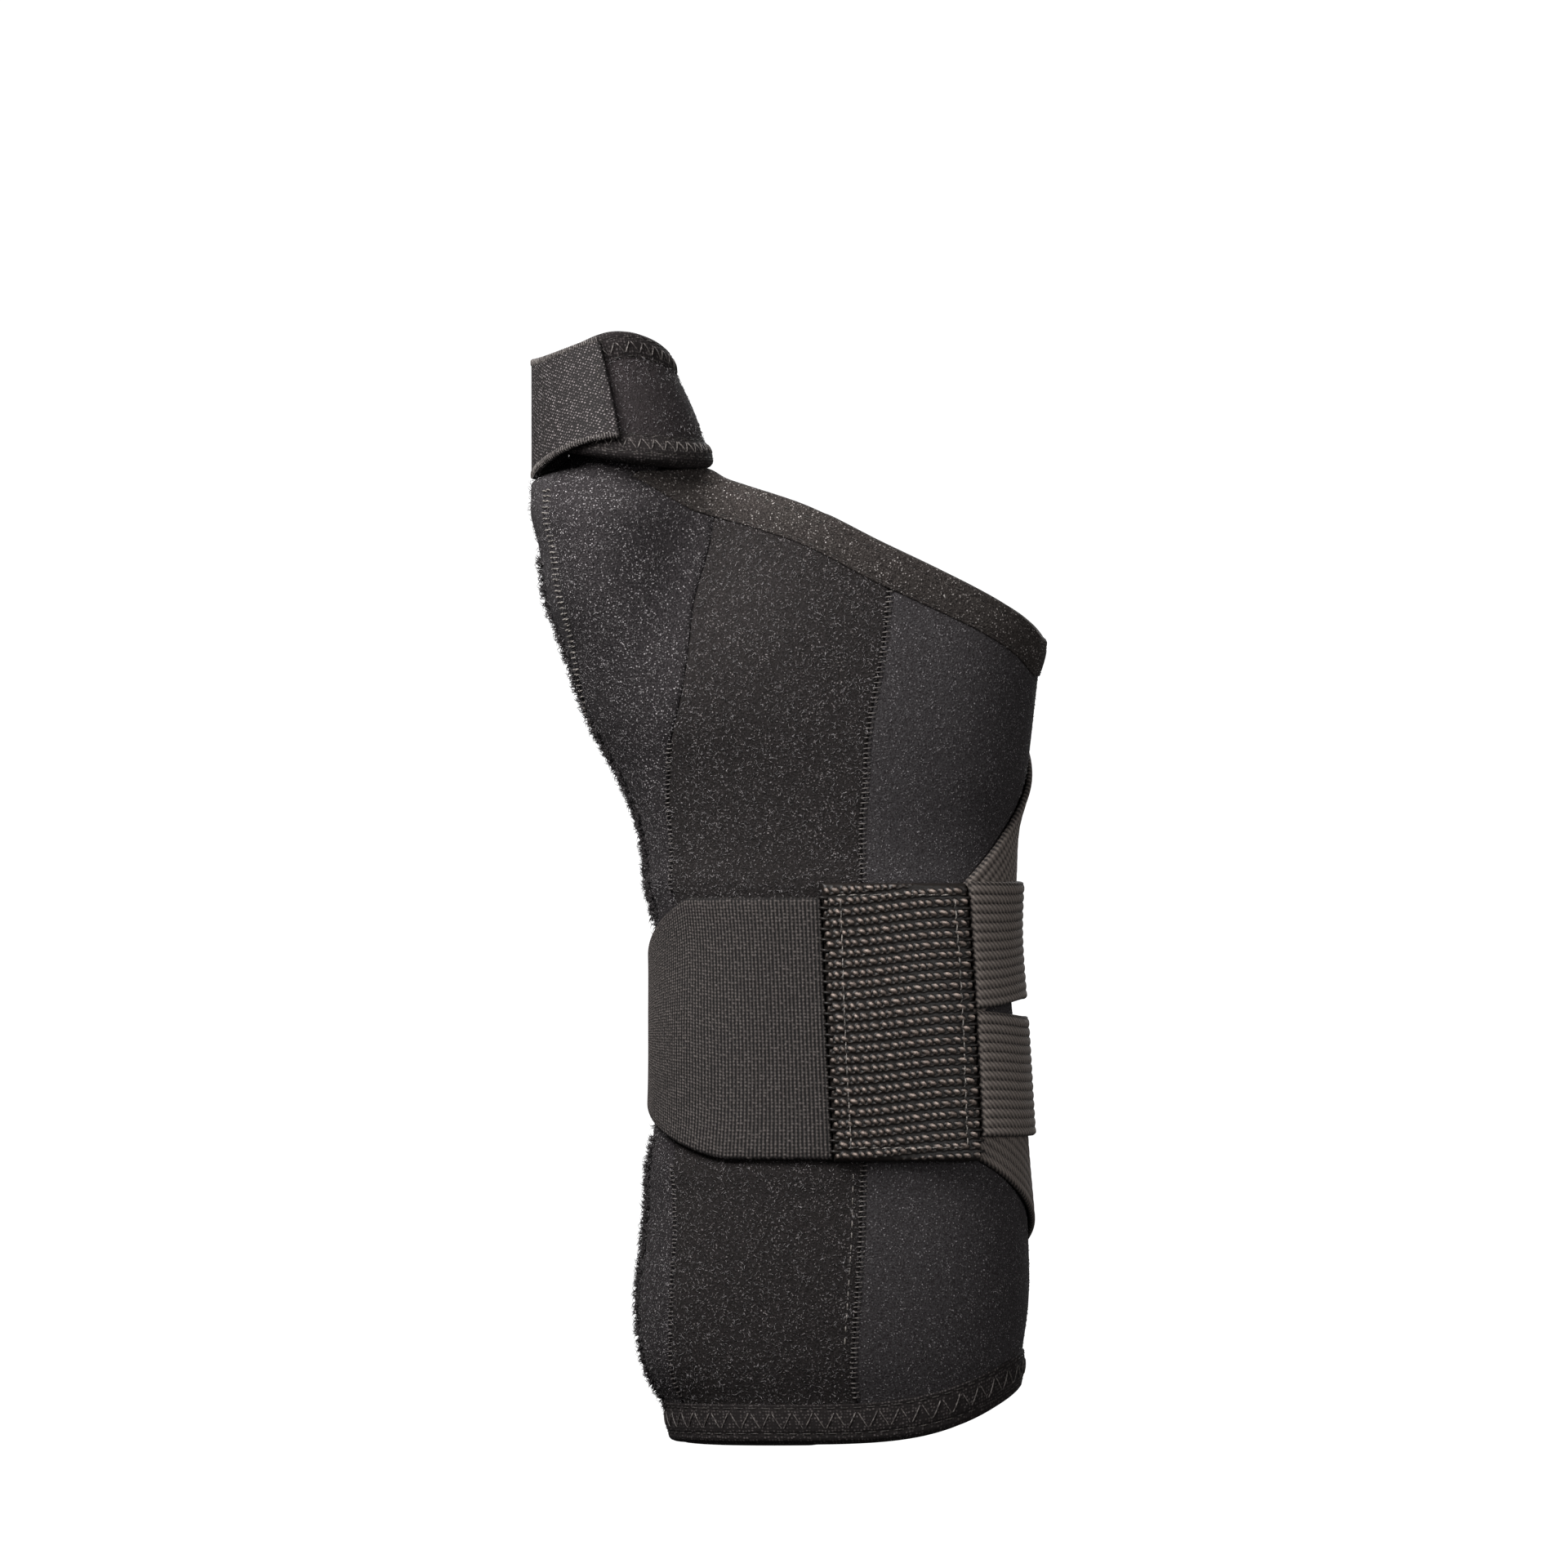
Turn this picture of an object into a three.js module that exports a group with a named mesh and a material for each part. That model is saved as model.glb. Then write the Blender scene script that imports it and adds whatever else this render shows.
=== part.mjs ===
// Thumb spica splint for the left hand, in its worn shape, in millimetres.
// X runs from the thumb side to the little finger side, -Y is the palm side, Z runs from
// the forearm to the fingers. The origin is the middle of the forearm opening.
import * as THREE from 'three';
import { mergeVertices } from 'three/addons/utils/BufferGeometryUtils.js';

// Body
const LENGTH = 184;          // forearm hem to the web of the thumb
const HALF_WIDTH = 36;       // forearm, middle to side
const HALF_DEPTH = 28;       // forearm, middle to palm side
const WALL = 3;              // laminated fabric
const HEM_RISE = 10;         // the forearm hem is cut higher on the little finger side
const FLATNESS = 0.25;       // how much fuller than an ellipse a section is
const WEB_PINCH = 0.55;      // share of the depth taken away in the valley at the web
const WEB_SPREAD = 13;       // half width of that valley
const WEB_INSET = 1.2;       // the valley lies this far inside the strap's web side
const WEB_DRIFT = 6;         // and leans this much towards the thumb on the way down
const SEAM_GAP = 0.55;       // between neighbouring panels
const LAYER_GAP = 0.35;      // between a layer and what it lies on

// Thumb
const THUMB_OUT = 58.4;      // middle of the forearm to the outside of the thumb
const THUMB_HALF_WIDTH = 15.2;
const THUMB_HALF_DEPTH = 17.8;
const THUMB_FULLNESS = 0.75; // how much fuller the thumb's side is than the little finger's
const THUMB_TAPER = 0.27;    // share of its width that the strap loses on the way up
const THUMB_FORWARD = 3.4;   // the thumb stands this far to the palm side
const THUMB_LEAN = 1.6;      // and leans this much more at the top
const STRAP_RISE = 0.6;      // lower edge of the thumb strap above the web
const STRAP_HEIGHT = 20.8;
const STRAP_SLANT = 3.4;     // its lower edge climbs this much to the outer side
const STRAP_PEAK = 5.2;      // its upper edge stands this much higher on the palm side
const PEAK_ANGLE = 112;      // degrees, where that is
const STRAP_WALL = 2.2;
const STRAP_TUCK = 5;        // how far the body goes up inside the thumb strap

// Bindings and closures
const BINDING_WIDTH = 7.75;
const BINDING_WALL = 0.8;
const BINDING_ROOM = 0.65;   // between a binding and the cloth inside it
const THUMB_BINDING_WIDTH = 5.5;
const TAB_WALL = 1.3;
const TAB_WIDTH = 49.5;      // wide closure, measured up the arm
const TAB_MIDDLE = 78.6;     // height of its middle line
const TAB_CORNER = 8.5;
const THUMB_TAB_DROP = 1.6;  // the thumb tab hangs this far below the strap's lower edge
const THUMB_TAB_CLIMB = 7.2; // and its lower edge climbs this much to the palm side
const PATCH_LENGTH = 26.5;   // webbing patch, measured round the arm
const PATCH_WIDTH = 52.5;
const PATCH_WALL = 3;
const PATCH_LIFT = 1.2;      // middle of the patch above the tab's
const ELASTIC_WALL = 1.2;
const ELASTIC_WIDTH = 22.6;
const ELASTIC_GAP = 3.2;     // between the two level elastics
const ELASTIC_LIFT = 3.6;    // middle of that gap above the tab's middle
const DIAGONAL_WIDTH = 20.5;
const UPPER_START = 14;      // the upper diagonal leaves the patch this far above its middle
const LOWER_START = 13;      // and the lower one this far below
const LOWER_REACH = 22;      // height of the lower diagonal's sewn end

const PANEL_ROWS = 20;
const ROW_CROWDING = 0.5;    // 0 spaces the rows evenly
const STRETCH_LIMIT = 1.5;   // a band on a steep edge grows no taller than this share
const DEGREE = Math.PI / 180;

// Sections of the body from the forearm hem to past the web. height is a share of LENGTH;
// left and right are shares of HALF_WIDTH; toThumb blends the left side out to THUMB_OUT;
// tuck draws it in under the thumb strap; front and back are shares of HALF_DEPTH.
const SECTIONS = [
  { height: 0.00, left: 0.86, toThumb: 0.00, tuck: 0, right: 0.90, front: 0.93, back: 0.86 },
  { height: 0.04, left: 0.91, toThumb: 0.00, tuck: 0, right: 0.92, front: 0.96, back: 0.88 },
  { height: 0.065, left: 0.985, toThumb: 0.00, tuck: 0, right: 0.94, front: 1.00, back: 0.92 },
  { height: 0.09, left: 1.03, toThumb: 0.00, tuck: 0, right: 0.965, front: 1.03, back: 0.94 },
  { height: 0.15, left: 1.06, toThumb: 0.00, tuck: 0, right: 1.00, front: 1.05, back: 0.96 },
  { height: 0.22, left: 1.03, toThumb: 0.00, tuck: 0, right: 0.99, front: 1.04, back: 0.95 },
  { height: 0.29, left: 1.00, toThumb: 0.00, tuck: 0, right: 0.96, front: 1.01, back: 0.94 },
  { height: 0.34, left: 0.97, toThumb: 0.00, tuck: 0, right: 0.94, front: 0.98, back: 0.92 },
  { height: 0.435, left: 0.965, toThumb: 0.00, tuck: 0, right: 0.91, front: 0.93, back: 0.89 },
  { height: 0.52, left: 0.97, toThumb: 0.00, tuck: 0, right: 0.88, front: 0.89, back: 0.86 },
  { height: 0.585, left: 1.00, toThumb: 0.03, tuck: 0, right: 0.885, front: 0.875, back: 0.83 },
  { height: 0.635, left: 1.00, toThumb: 0.10, tuck: 0, right: 0.90, front: 0.87, back: 0.81 },
  { height: 0.685, left: 1.00, toThumb: 0.26, tuck: 0, right: 0.975, front: 0.89, back: 0.79 },
  { height: 0.745, left: 1.00, toThumb: 0.51, tuck: 0, right: 1.025, front: 0.92, back: 0.78 },
  { height: 0.82, left: 1.00, toThumb: 0.73, tuck: 0, right: 1.065, front: 0.92, back: 0.75 },
  { height: 0.87, left: 1.00, toThumb: 0.90, tuck: 0, right: 1.07, front: 0.89, back: 0.71 },
  { height: 0.925, left: 1.00, toThumb: 0.97, tuck: 0, right: 1.07, front: 0.85, back: 0.66 },
  { height: 0.955, left: 1.00, toThumb: 1.02, tuck: 0, right: 1.07, front: 0.82, back: 0.62 },
  { height: 0.97, left: 1.00, toThumb: 1.01, tuck: 0.03, right: 1.07, front: 0.80, back: 0.59 },
  { height: 0.987, left: 1.00, toThumb: 1.00, tuck: 0.22, right: 1.07, front: 0.78, back: 0.56 },
  { height: 1.005, left: 1.00, toThumb: 1.00, tuck: 1, right: 1.07, front: 0.77, back: 0.54 },
  { height: 1.08, left: 1.00, toThumb: 1.00, tuck: 1, right: 1.07, front: 0.77, back: 0.54 },
];

// Upper edge of the body by the angle from the thumb side, the same on the palm and the back.
// Up to the web it stands inside the thumb strap, then the hem slopes to the little finger side.
const UPPER_EDGE = [
  { angle: 0, height: 0.998 },
  { angle: 58, height: 0.998 },
  { angle: 67, height: 0.996 },
  { angle: 80, height: 0.987 },
  { angle: 91, height: 0.972 },
  { angle: 99, height: 0.957 },
  { angle: 112, height: 0.927 },
  { angle: 126, height: 0.901 },
  { angle: 139, height: 0.880 },
  { angle: 156, height: 0.854 },
  { angle: 170, height: 0.832 },
  { angle: 180, height: 0.820 },
];
const TUCK_END = 50;         // degrees: inside the strap the body goes up STRAP_TUCK to here
const WEB_ANGLE = 60;        // and is down at the web from here

// Seams: angle from the thumb side over the palm by height. Past 180 they are on the back.
const SEAMS = {
  stitched: [[0, -20], [0.5, -15], [0.66, -8], [0.76, 6], [0.82, 15], [0.86, 20], [1.05, 21]],
  groove: [[0, 24], [0.15, 34], [0.44, 25], [0.64, 35], [0.70, 44], [0.76, 55], [0.83, 63],
    [0.90, 70], [0.96, 74], [1.05, 76]],
  ladder: [[0, 95], [0.28, 98.5], [0.64, 102], [0.71, 103.5], [0.77, 107], [0.83, 110.5],
    [0.88, 113], [1.05, 116]],
  ulnar: [[0, 206], [1.05, 206]],
  dorsal: [[0, 300], [1.05, 300]],
};

// Smooth curve through rows of [place, value], as cubic pieces whose slope at a row is the
// slope between its two neighbours.
function curve(rows, place) {
  const last = rows.length - 1;
  const slope = (i) => {
    const a = rows[Math.max(i - 1, 0)];
    const b = rows[Math.min(i + 1, last)];
    return (b[1] - a[1]) / (b[0] - a[0]);
  };
  const at = Math.min(Math.max(place, rows[0][0]), rows[last][0]);
  let i = 0;
  while (i < last - 1 && at > rows[i + 1][0]) i += 1;
  const step = rows[i + 1][0] - rows[i][0];
  const t = (at - rows[i][0]) / step;
  const rise = rows[i + 1][1] - rows[i][1];
  const a = slope(i) * step - rise;
  const b = rise - slope(i + 1) * step;
  return rows[i][1] + t * rise + t * (1 - t) * (a * (1 - t) + b * t);
}

const column = (name) => SECTIONS.map((row) => [row.height, row[name]]);
const columns = Object.fromEntries(
  ['left', 'toThumb', 'tuck', 'right', 'front', 'back'].map((name) => [name, column(name)]),
);

const mix = (a, b, share) => a + (b - a) * share;
const smooth = (from, to, value) => THREE.MathUtils.smoothstep(value, from, to);

// How far the thumb tab lies off the strap, over its bindings, and where that puts the strap.
const TAB_LIFT = BINDING_ROOM + BINDING_WALL + LAYER_GAP;
const STRAP_BASE = LENGTH + STRAP_RISE;
const STRAP_OUT = THUMB_OUT - TAB_WALL - TAB_LIFT;

// How far the body draws in under the strap: tab, strap, its binding and their gaps.
const STRAP_LAYERS = STRAP_WALL + BINDING_WALL + BINDING_ROOM + LAYER_GAP;
const UNDER_STRAP = TAB_WALL + TAB_LIFT + STRAP_LAYERS;
// Depth of the section in which the thumb lobe just fits inside the strap.
const LOBE_DEPTH = THUMB_HALF_DEPTH - STRAP_LAYERS - LAYER_GAP;

function section(z) {
  const value = Object.fromEntries(
    Object.entries(columns).map(([name, rows]) => [name, curve(rows, z / LENGTH)]),
  );
  const left = mix(HALF_WIDTH * value.left, THUMB_OUT, value.toThumb) - UNDER_STRAP * value.tuck;
  const right = HALF_WIDTH * value.right;
  const lobe = smooth(0.955, 1.003, z / LENGTH);
  return {
    middle: (right - left) / 2,
    halfWidth: (right + left) / 2,
    forward: mix((value.front - value.back) * HALF_DEPTH / 2, THUMB_FORWARD, lobe),
    halfDepth: mix((value.front + value.back) * HALF_DEPTH / 2, LOBE_DEPTH, lobe),
  };
}

// The valley between thumb and palm: its middle leans from the wrist to the web.
const WEB_PLACE = STRAP_OUT - 2 * THUMB_HALF_WIDTH - WEB_INSET;
const webMiddle = (z) => -WEB_PLACE - WEB_DRIFT * (1 - smooth(0.75, 1, z / LENGTH));
const webDepth = (z) => WEB_PINCH * smooth(0.72, 1, z / LENGTH);

// Outside of the body: angle 0 is the thumb side, 90 the palm side, 180 the little finger side.
function skin(angle, z) {
  const s = section(z);
  const c = Math.cos(angle);
  const x = s.middle - s.halfWidth * c;
  const pinch = webDepth(z) * Math.exp(-(((x - webMiddle(z)) / WEB_SPREAD) ** 2));
  const thumbSide = THUMB_FULLNESS * smooth(0.68, 0.93, z / LENGTH) * Math.max(c, 0) ** 2;
  const full = 1 + FLATNESS * c * c + thumbSide;
  const depth = s.halfDepth * Math.sin(angle) * full * (1 - pinch);
  return new THREE.Vector3(x, -s.forward - depth, z);
}

// A point off a surface: out along its normal, in for a negative distance.
function offset(surface, angle, z, distance) {
  const e = 0.01;
  const round = surface(angle + e, z).sub(surface(angle - e, z));
  const up = surface(angle, z + e).sub(surface(angle, z - e));
  return surface(angle, z).addScaledVector(round.cross(up).normalize(), distance);
}

const fromThumbSide = (angle) => Math.abs(Math.atan2(Math.sin(angle), Math.cos(angle))) / DEGREE;
const edgeRows = UPPER_EDGE.map((row) => [row.angle, row.height]);

// Height of the upper edge: the hem, and inside the strap the part that is tucked in.
function hemTop(angle) {
  return LENGTH * curve(edgeRows, fromThumbSide(angle));
}
function bodyTop(angle) {
  const tucked = 1 - smooth(TUCK_END, WEB_ANGLE, fromThumbSide(angle));
  return hemTop(angle) + (STRAP_TUCK + STRAP_BASE - LENGTH) * tucked;
}
const hemBottom = (angle) => HEM_RISE * ((1 - Math.cos(angle)) / 2) ** 6;

// A solid wall from a box of cells: place(u, v, w) gives its point for shares u round,
// v up and w out.
function wall(cellsRound, cellsUp, place) {
  const box = new THREE.BoxGeometry(1, 1, 1, cellsRound, cellsUp, 1);
  box.deleteAttribute('normal');
  box.deleteAttribute('uv');
  const geometry = mergeVertices(box);
  const position = geometry.attributes.position;
  for (let i = 0; i < position.count; i += 1) {
    const p = place(position.getX(i) + 0.5, position.getY(i) + 0.5, position.getZ(i) + 0.5);
    position.setXYZ(i, p.x, p.y, p.z);
  }
  return geometry;
}

// A solid loop: outline(share) gives the closed outline of the section at that share of the
// way round, its points counter-clockwise as the loop runs away from the eye.
function loop(steps, outline) {
  const rows = Array.from({ length: steps }, (_, i) => outline(i / steps));
  const sides = rows[0].length;
  const index = [];
  for (let i = 0; i < steps; i += 1) {
    const next = (i + 1) % steps;
    for (let j = 0; j < sides; j += 1) {
      const side = (j + 1) % sides;
      const [a, b] = [i * sides + j, next * sides + j];
      const [c, d] = [next * sides + side, i * sides + side];
      index.push(a, b, c, a, c, d);
    }
  }
  const geometry = new THREE.BufferGeometry().setFromPoints(rows.flat());
  geometry.setIndex(index);
  return geometry;
}

// An open run of the same sections, closed by a fan at each end.
function run(steps, outline) {
  const rows = Array.from({ length: steps + 1 }, (_, i) => outline(i / steps));
  const sides = rows[0].length;
  const index = [];
  for (let i = 0; i < steps; i += 1) {
    for (let j = 0; j < sides; j += 1) {
      const side = (j + 1) % sides;
      const [a, b] = [i * sides + j, (i + 1) * sides + j];
      const [c, d] = [(i + 1) * sides + side, i * sides + side];
      index.push(a, b, c, a, c, d);
    }
  }
  // The channel's end is three strips: outer leg, fold and inner leg.
  const strips = [[0, 1, 6, 7], [1, 2, 5, 6], [2, 3, 4, 5]];
  const end = steps * sides;
  for (const [p, q, r, s] of strips) {
    index.push(p, q, r, p, r, s);
    index.push(end + p, end + r, end + q, end + p, end + s, end + r);
  }
  const geometry = new THREE.BufferGeometry().setFromPoints(rows.flat());
  geometry.setIndex(index);
  return geometry;
}

// Way round the surface for each radian of angle.
function speed(surface, angle, z) {
  const e = 0.01;
  return surface(angle + e, z).distanceTo(surface(angle - e, z)) / (2 * e);
}

// How much taller a band is, measured straight up, where its edge slopes.
function stretch(surface, angle, edge) {
  const e = 0.02;
  const rise = (edge(angle + e) - edge(angle - e)) / (2 * e);
  return Math.min(Math.hypot(1, rise / speed(surface, angle, edge(angle))), STRETCH_LIMIT);
}

const seamAngle = (name, z) => curve(SEAMS[name], z / LENGTH) * DEGREE;

// Rows of a panel lie closer together towards its two hems, where the shape turns most.
const crowded = (v) => v - ROW_CROWDING * Math.sin(2 * Math.PI * v) / (2 * Math.PI);

// A panel of the body between two seams, half a seam gap short of each.
function panel(from, to, turn, cellsRound) {
  const lift = BINDING_ROOM + BINDING_WALL;
  return wall(cellsRound, PANEL_ROWS, (u, v, w) => {
    let angle = mix(seamAngle(from, 0), seamAngle(to, 0) + turn, u);
    let z = 0;
    for (let i = 0; i < 12; i += 1) {
      const low = hemBottom(angle) + lift * stretch(skin, angle, hemBottom);
      const high = bodyTop(angle) - lift * stretch(skin, angle, hemTop);
      z = mix(low, high, crowded(v));
      const edge = SEAM_GAP / 2 / speed(skin, angle, z);
      angle = mix(seamAngle(from, z) + edge, seamAngle(to, z) + turn - edge, u);
    }
    return offset(skin, angle, z, (w - 1) * WALL);
  });
}

// Section of a binding: a channel folded over an edge. up is +1 where the edge is the upper
// one; the points go down the outside, over the fold and back up the inside.
function channel(surface, angle, edge, up, width, wallThickness) {
  const out = BINDING_ROOM + BINDING_WALL;
  const inside = -wallThickness - BINDING_ROOM;
  const tall = stretch(surface, angle, edge);
  const at = (down, distance) => offset(surface, angle, edge(angle) - up * down * tall, distance);
  const points = [
    at(width, out), at(0, out), at(0, inside - BINDING_WALL), at(width, inside - BINDING_WALL),
    at(width, inside), at(BINDING_WALL, inside), at(BINDING_WALL, BINDING_ROOM),
    at(width, BINDING_ROOM),
  ];
  return up > 0 ? points : points.reverse();
}

// Outside of the thumb strap: 0 is the outer side, 90 the palm side, 180 the web side.
function strapSkin(angle, z) {
  const share = Math.max((z - STRAP_BASE) / STRAP_HEIGHT, 0);
  const halfWidth = THUMB_HALF_WIDTH * (1 - THUMB_TAPER * share ** 1.25);
  const halfDepth = THUMB_HALF_DEPTH * (1 - THUMB_TAPER * share);
  const x = -STRAP_OUT + halfWidth * (1 - Math.cos(angle));
  const y = -THUMB_FORWARD - THUMB_LEAN * share - halfDepth * Math.sin(angle);
  return new THREE.Vector3(x, y, z);
}
const strapTop = (angle) => STRAP_BASE + STRAP_HEIGHT
  + STRAP_PEAK * ((1 + Math.cos(angle - PEAK_ANGLE * DEGREE)) / 2) ** 3;
const strapBottom = (angle) => STRAP_BASE + STRAP_SLANT * ((1 + Math.cos(angle)) / 2) ** 1.5;

function thumbStrap(steps, cellsUp) {
  const inset = BINDING_WALL + BINDING_ROOM;
  return loop(steps, (share) => {
    const angle = share * 2 * Math.PI;
    const heights = Array.from({ length: cellsUp + 1 }, (_, i) => mix(
      strapBottom(angle) + inset, strapTop(angle) - inset, i / cellsUp));
    const outside = heights.map((z) => offset(strapSkin, angle, z, 0));
    const inside = heights.map((z) => offset(strapSkin, angle, z, -STRAP_WALL));
    return [...outside, ...inside.reverse()];
  });
}

const closedBinding = (surface, edge, up, width, thickness, steps) => loop(steps, (share) => (
  channel(surface, share * 2 * Math.PI, edge, up, width, thickness)));

function palmBinding(steps) {
  const start = (WEB_ANGLE + 1.2) * DEGREE;
  return run(steps, (share) => (
    channel(skin, mix(start, 2 * Math.PI - start, share), hemTop, 1, BINDING_WIDTH, WALL)));
}

// The thumb tab lies on the strap from the back round the outer side to the palm side, and
// widens downwards on its way to the outer side.
function thumbTab() {
  return wall(12, 5, (u, v, w) => {
    const angle = mix(-50, 88, u) * DEGREE;
    const low = STRAP_BASE - THUMB_TAB_DROP
      + THUMB_TAB_CLIMB * Math.max(Math.sin(angle), 0) ** 1.4;
    const high = strapTop(angle) + LAYER_GAP;
    return offset(strapSkin, angle, mix(low, high, v), TAB_LIFT + w * TAB_WALL);
  });
}

// Angle on the palm side at which the body reaches a place across, at a height.
function angleAt(x, z) {
  const s = section(z);
  return Math.acos(THREE.MathUtils.clamp((s.middle - x) / s.halfWidth, -1, 1));
}

// Wide closure: tab, patch and elastics follow each other round the arm at one height.
const TAB_START = -8 * DEGREE;
const PATCH_START = -2.2;    // across, where the tab ends and the patch starts
const PATCH_LEAN = 2.3;      // the patch leans this much over its width
const lean = (z) => -PATCH_LEAN * (z - TAB_MIDDLE) / PATCH_WIDTH;
const patchStart = (z) => PATCH_START + lean(z);
const patchEnd = (z) => patchStart(z) + PATCH_LENGTH;

function closureTab() {
  return wall(14, 10, (u, v, w) => {
    const end = angleAt(patchStart(TAB_MIDDLE) - SEAM_GAP, TAB_MIDDLE);
    const along = (end - TAB_START) * u * HALF_DEPTH;
    const cut = Math.max(1 - along / TAB_CORNER, 0);
    const corner = TAB_CORNER * (1 - Math.sqrt(1 - cut * cut));
    const z = TAB_MIDDLE + (v - 0.5) * (TAB_WIDTH - 2 * corner);
    const edge = angleAt(patchStart(z) - SEAM_GAP, z);
    return offset(skin, mix(TAB_START, edge, u), z, LAYER_GAP + w * TAB_WALL);
  });
}

function webbingPatch() {
  return wall(6, 8, (u, v, w) => {
    const z = TAB_MIDDLE + PATCH_LIFT + (v - 0.5) * PATCH_WIDTH;
    const x = mix(patchStart(z), patchEnd(z), u);
    return offset(skin, angleAt(x, z), z, LAYER_GAP + w * PATCH_WALL);
  });
}

// Elastics run from the patch round the little finger side to the seam on the back.
const LEVEL_END = 297;       // degrees, where an elastic is sewn down on the back
const UPPER_END = 276;
const LOWER_END = 294;
// The upper diagonal ends below the palm binding.
const UPPER_REACH = hemTop(UPPER_END * DEGREE) - STRETCH_LIMIT * BINDING_WIDTH
  - 0.72 * DIAGONAL_WIDTH;
function elastic(middle, width, reach, overDiagonal, end) {
  const start = angleAt(patchEnd(middle) + SEAM_GAP, middle);
  const rise = (reach - middle) / (end * DEGREE - start) / HALF_DEPTH;
  const tall = width * Math.hypot(1, rise);
  return wall(22, 3, (u, v, w) => {
    const z0 = middle + (v - 0.5) * tall;
    const edge = angleAt(patchEnd(z0) + SEAM_GAP, z0);
    const angle = mix(edge, end * DEGREE, u);
    const z = z0 + rise * (angle - start) * HALF_DEPTH;
    const lift = overDiagonal * (ELASTIC_WALL + LAYER_GAP) * (1 - smooth(0.5, 0.68, u));
    return offset(skin, angle, z, LAYER_GAP + lift + w * ELASTIC_WALL);
  });
}

const FABRIC = { color: 0x29272a, roughness: 0.96 };
const KNIT = { color: 0x343231, roughness: 0.9 };
const HOOK = { color: 0x3c3a3b, roughness: 0.8 };
const WEBBING = { color: 0x3a3836, roughness: 0.6 };
const ELASTIC = { color: 0x3a3733, roughness: 0.75 };

const splint = new THREE.Group();
function add(name, look, geometry) {
  const material = new THREE.MeshStandardMaterial({ metalness: 0, ...look });
  const mesh = new THREE.Mesh(geometry, material);
  mesh.name = name;
  splint.add(mesh);
}

// Panels from the thumb side round the palm: the two seams, the turn added to the second one's
// angle, and the cells round.
const PANELS = [
  { name: 'thumb_panel', from: 'stitched', to: 'groove', turn: 0, cells: 15 },
  { name: 'palm_panel', from: 'groove', to: 'ladder', turn: 0, cells: 10 },
  { name: 'ulnar_panel', from: 'ladder', to: 'ulnar', turn: 0, cells: 11 },
  { name: 'dorsal_panel', from: 'ulnar', to: 'dorsal', turn: 0, cells: 13 },
  { name: 'radial_panel', from: 'dorsal', to: 'stitched', turn: 2 * Math.PI, cells: 9 },
];
for (const { name, from, to, turn, cells } of PANELS) {
  add(name, FABRIC, panel(from, to, turn, cells));
}
add('forearm_binding', KNIT, closedBinding(skin, hemBottom, -1, BINDING_WIDTH, WALL, 52));
add('palm_binding', KNIT, palmBinding(60));
add('thumb_strap', FABRIC, thumbStrap(34, 5));
add('thumb_top_binding', KNIT,
  closedBinding(strapSkin, strapTop, 1, THUMB_BINDING_WIDTH, STRAP_WALL, 34));
add('thumb_lower_binding', KNIT,
  closedBinding(strapSkin, strapBottom, -1, THUMB_BINDING_WIDTH, STRAP_WALL, 34));
add('thumb_tab', HOOK, thumbTab());
add('closure_tab', HOOK, closureTab());
add('webbing_patch', WEBBING, webbingPatch());
const LEVEL_MIDDLE = TAB_MIDDLE + ELASTIC_LIFT;
const STEP = (ELASTIC_WIDTH + ELASTIC_GAP) / 2;
for (const [name, middle] of [['elastic_upper', LEVEL_MIDDLE + STEP],
  ['elastic_lower', LEVEL_MIDDLE - STEP]]) {
  add(name, ELASTIC, elastic(middle, ELASTIC_WIDTH, middle, 1, LEVEL_END));
}
add('diagonal_upper', ELASTIC,
  elastic(TAB_MIDDLE + UPPER_START, DIAGONAL_WIDTH, UPPER_REACH, 0, UPPER_END));
add('diagonal_lower', ELASTIC,
  elastic(TAB_MIDDLE - LOWER_START, DIAGONAL_WIDTH, LOWER_REACH, 0, LOWER_END));

export default splint;
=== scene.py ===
"""Thumb spica splint for the left hand: the cloth, tapes, elastics and stitches over the frame."""

import bpy
import numpy as np
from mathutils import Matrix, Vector


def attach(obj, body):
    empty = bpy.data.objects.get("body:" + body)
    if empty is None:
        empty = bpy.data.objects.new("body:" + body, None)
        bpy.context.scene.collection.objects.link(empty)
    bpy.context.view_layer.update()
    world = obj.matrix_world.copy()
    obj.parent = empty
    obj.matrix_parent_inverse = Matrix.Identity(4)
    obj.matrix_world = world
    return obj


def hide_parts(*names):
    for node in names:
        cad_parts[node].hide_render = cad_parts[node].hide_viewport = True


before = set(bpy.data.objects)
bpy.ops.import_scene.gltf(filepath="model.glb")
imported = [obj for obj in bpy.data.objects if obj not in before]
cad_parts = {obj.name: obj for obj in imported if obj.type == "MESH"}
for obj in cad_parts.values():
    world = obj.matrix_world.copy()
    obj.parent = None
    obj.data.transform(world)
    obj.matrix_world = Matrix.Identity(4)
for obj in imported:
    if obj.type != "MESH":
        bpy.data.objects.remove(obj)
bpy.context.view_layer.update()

scene = bpy.context.scene
MM = 0.001
DEGREE = np.pi / 180
rng = np.random.default_rng(27)

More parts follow.
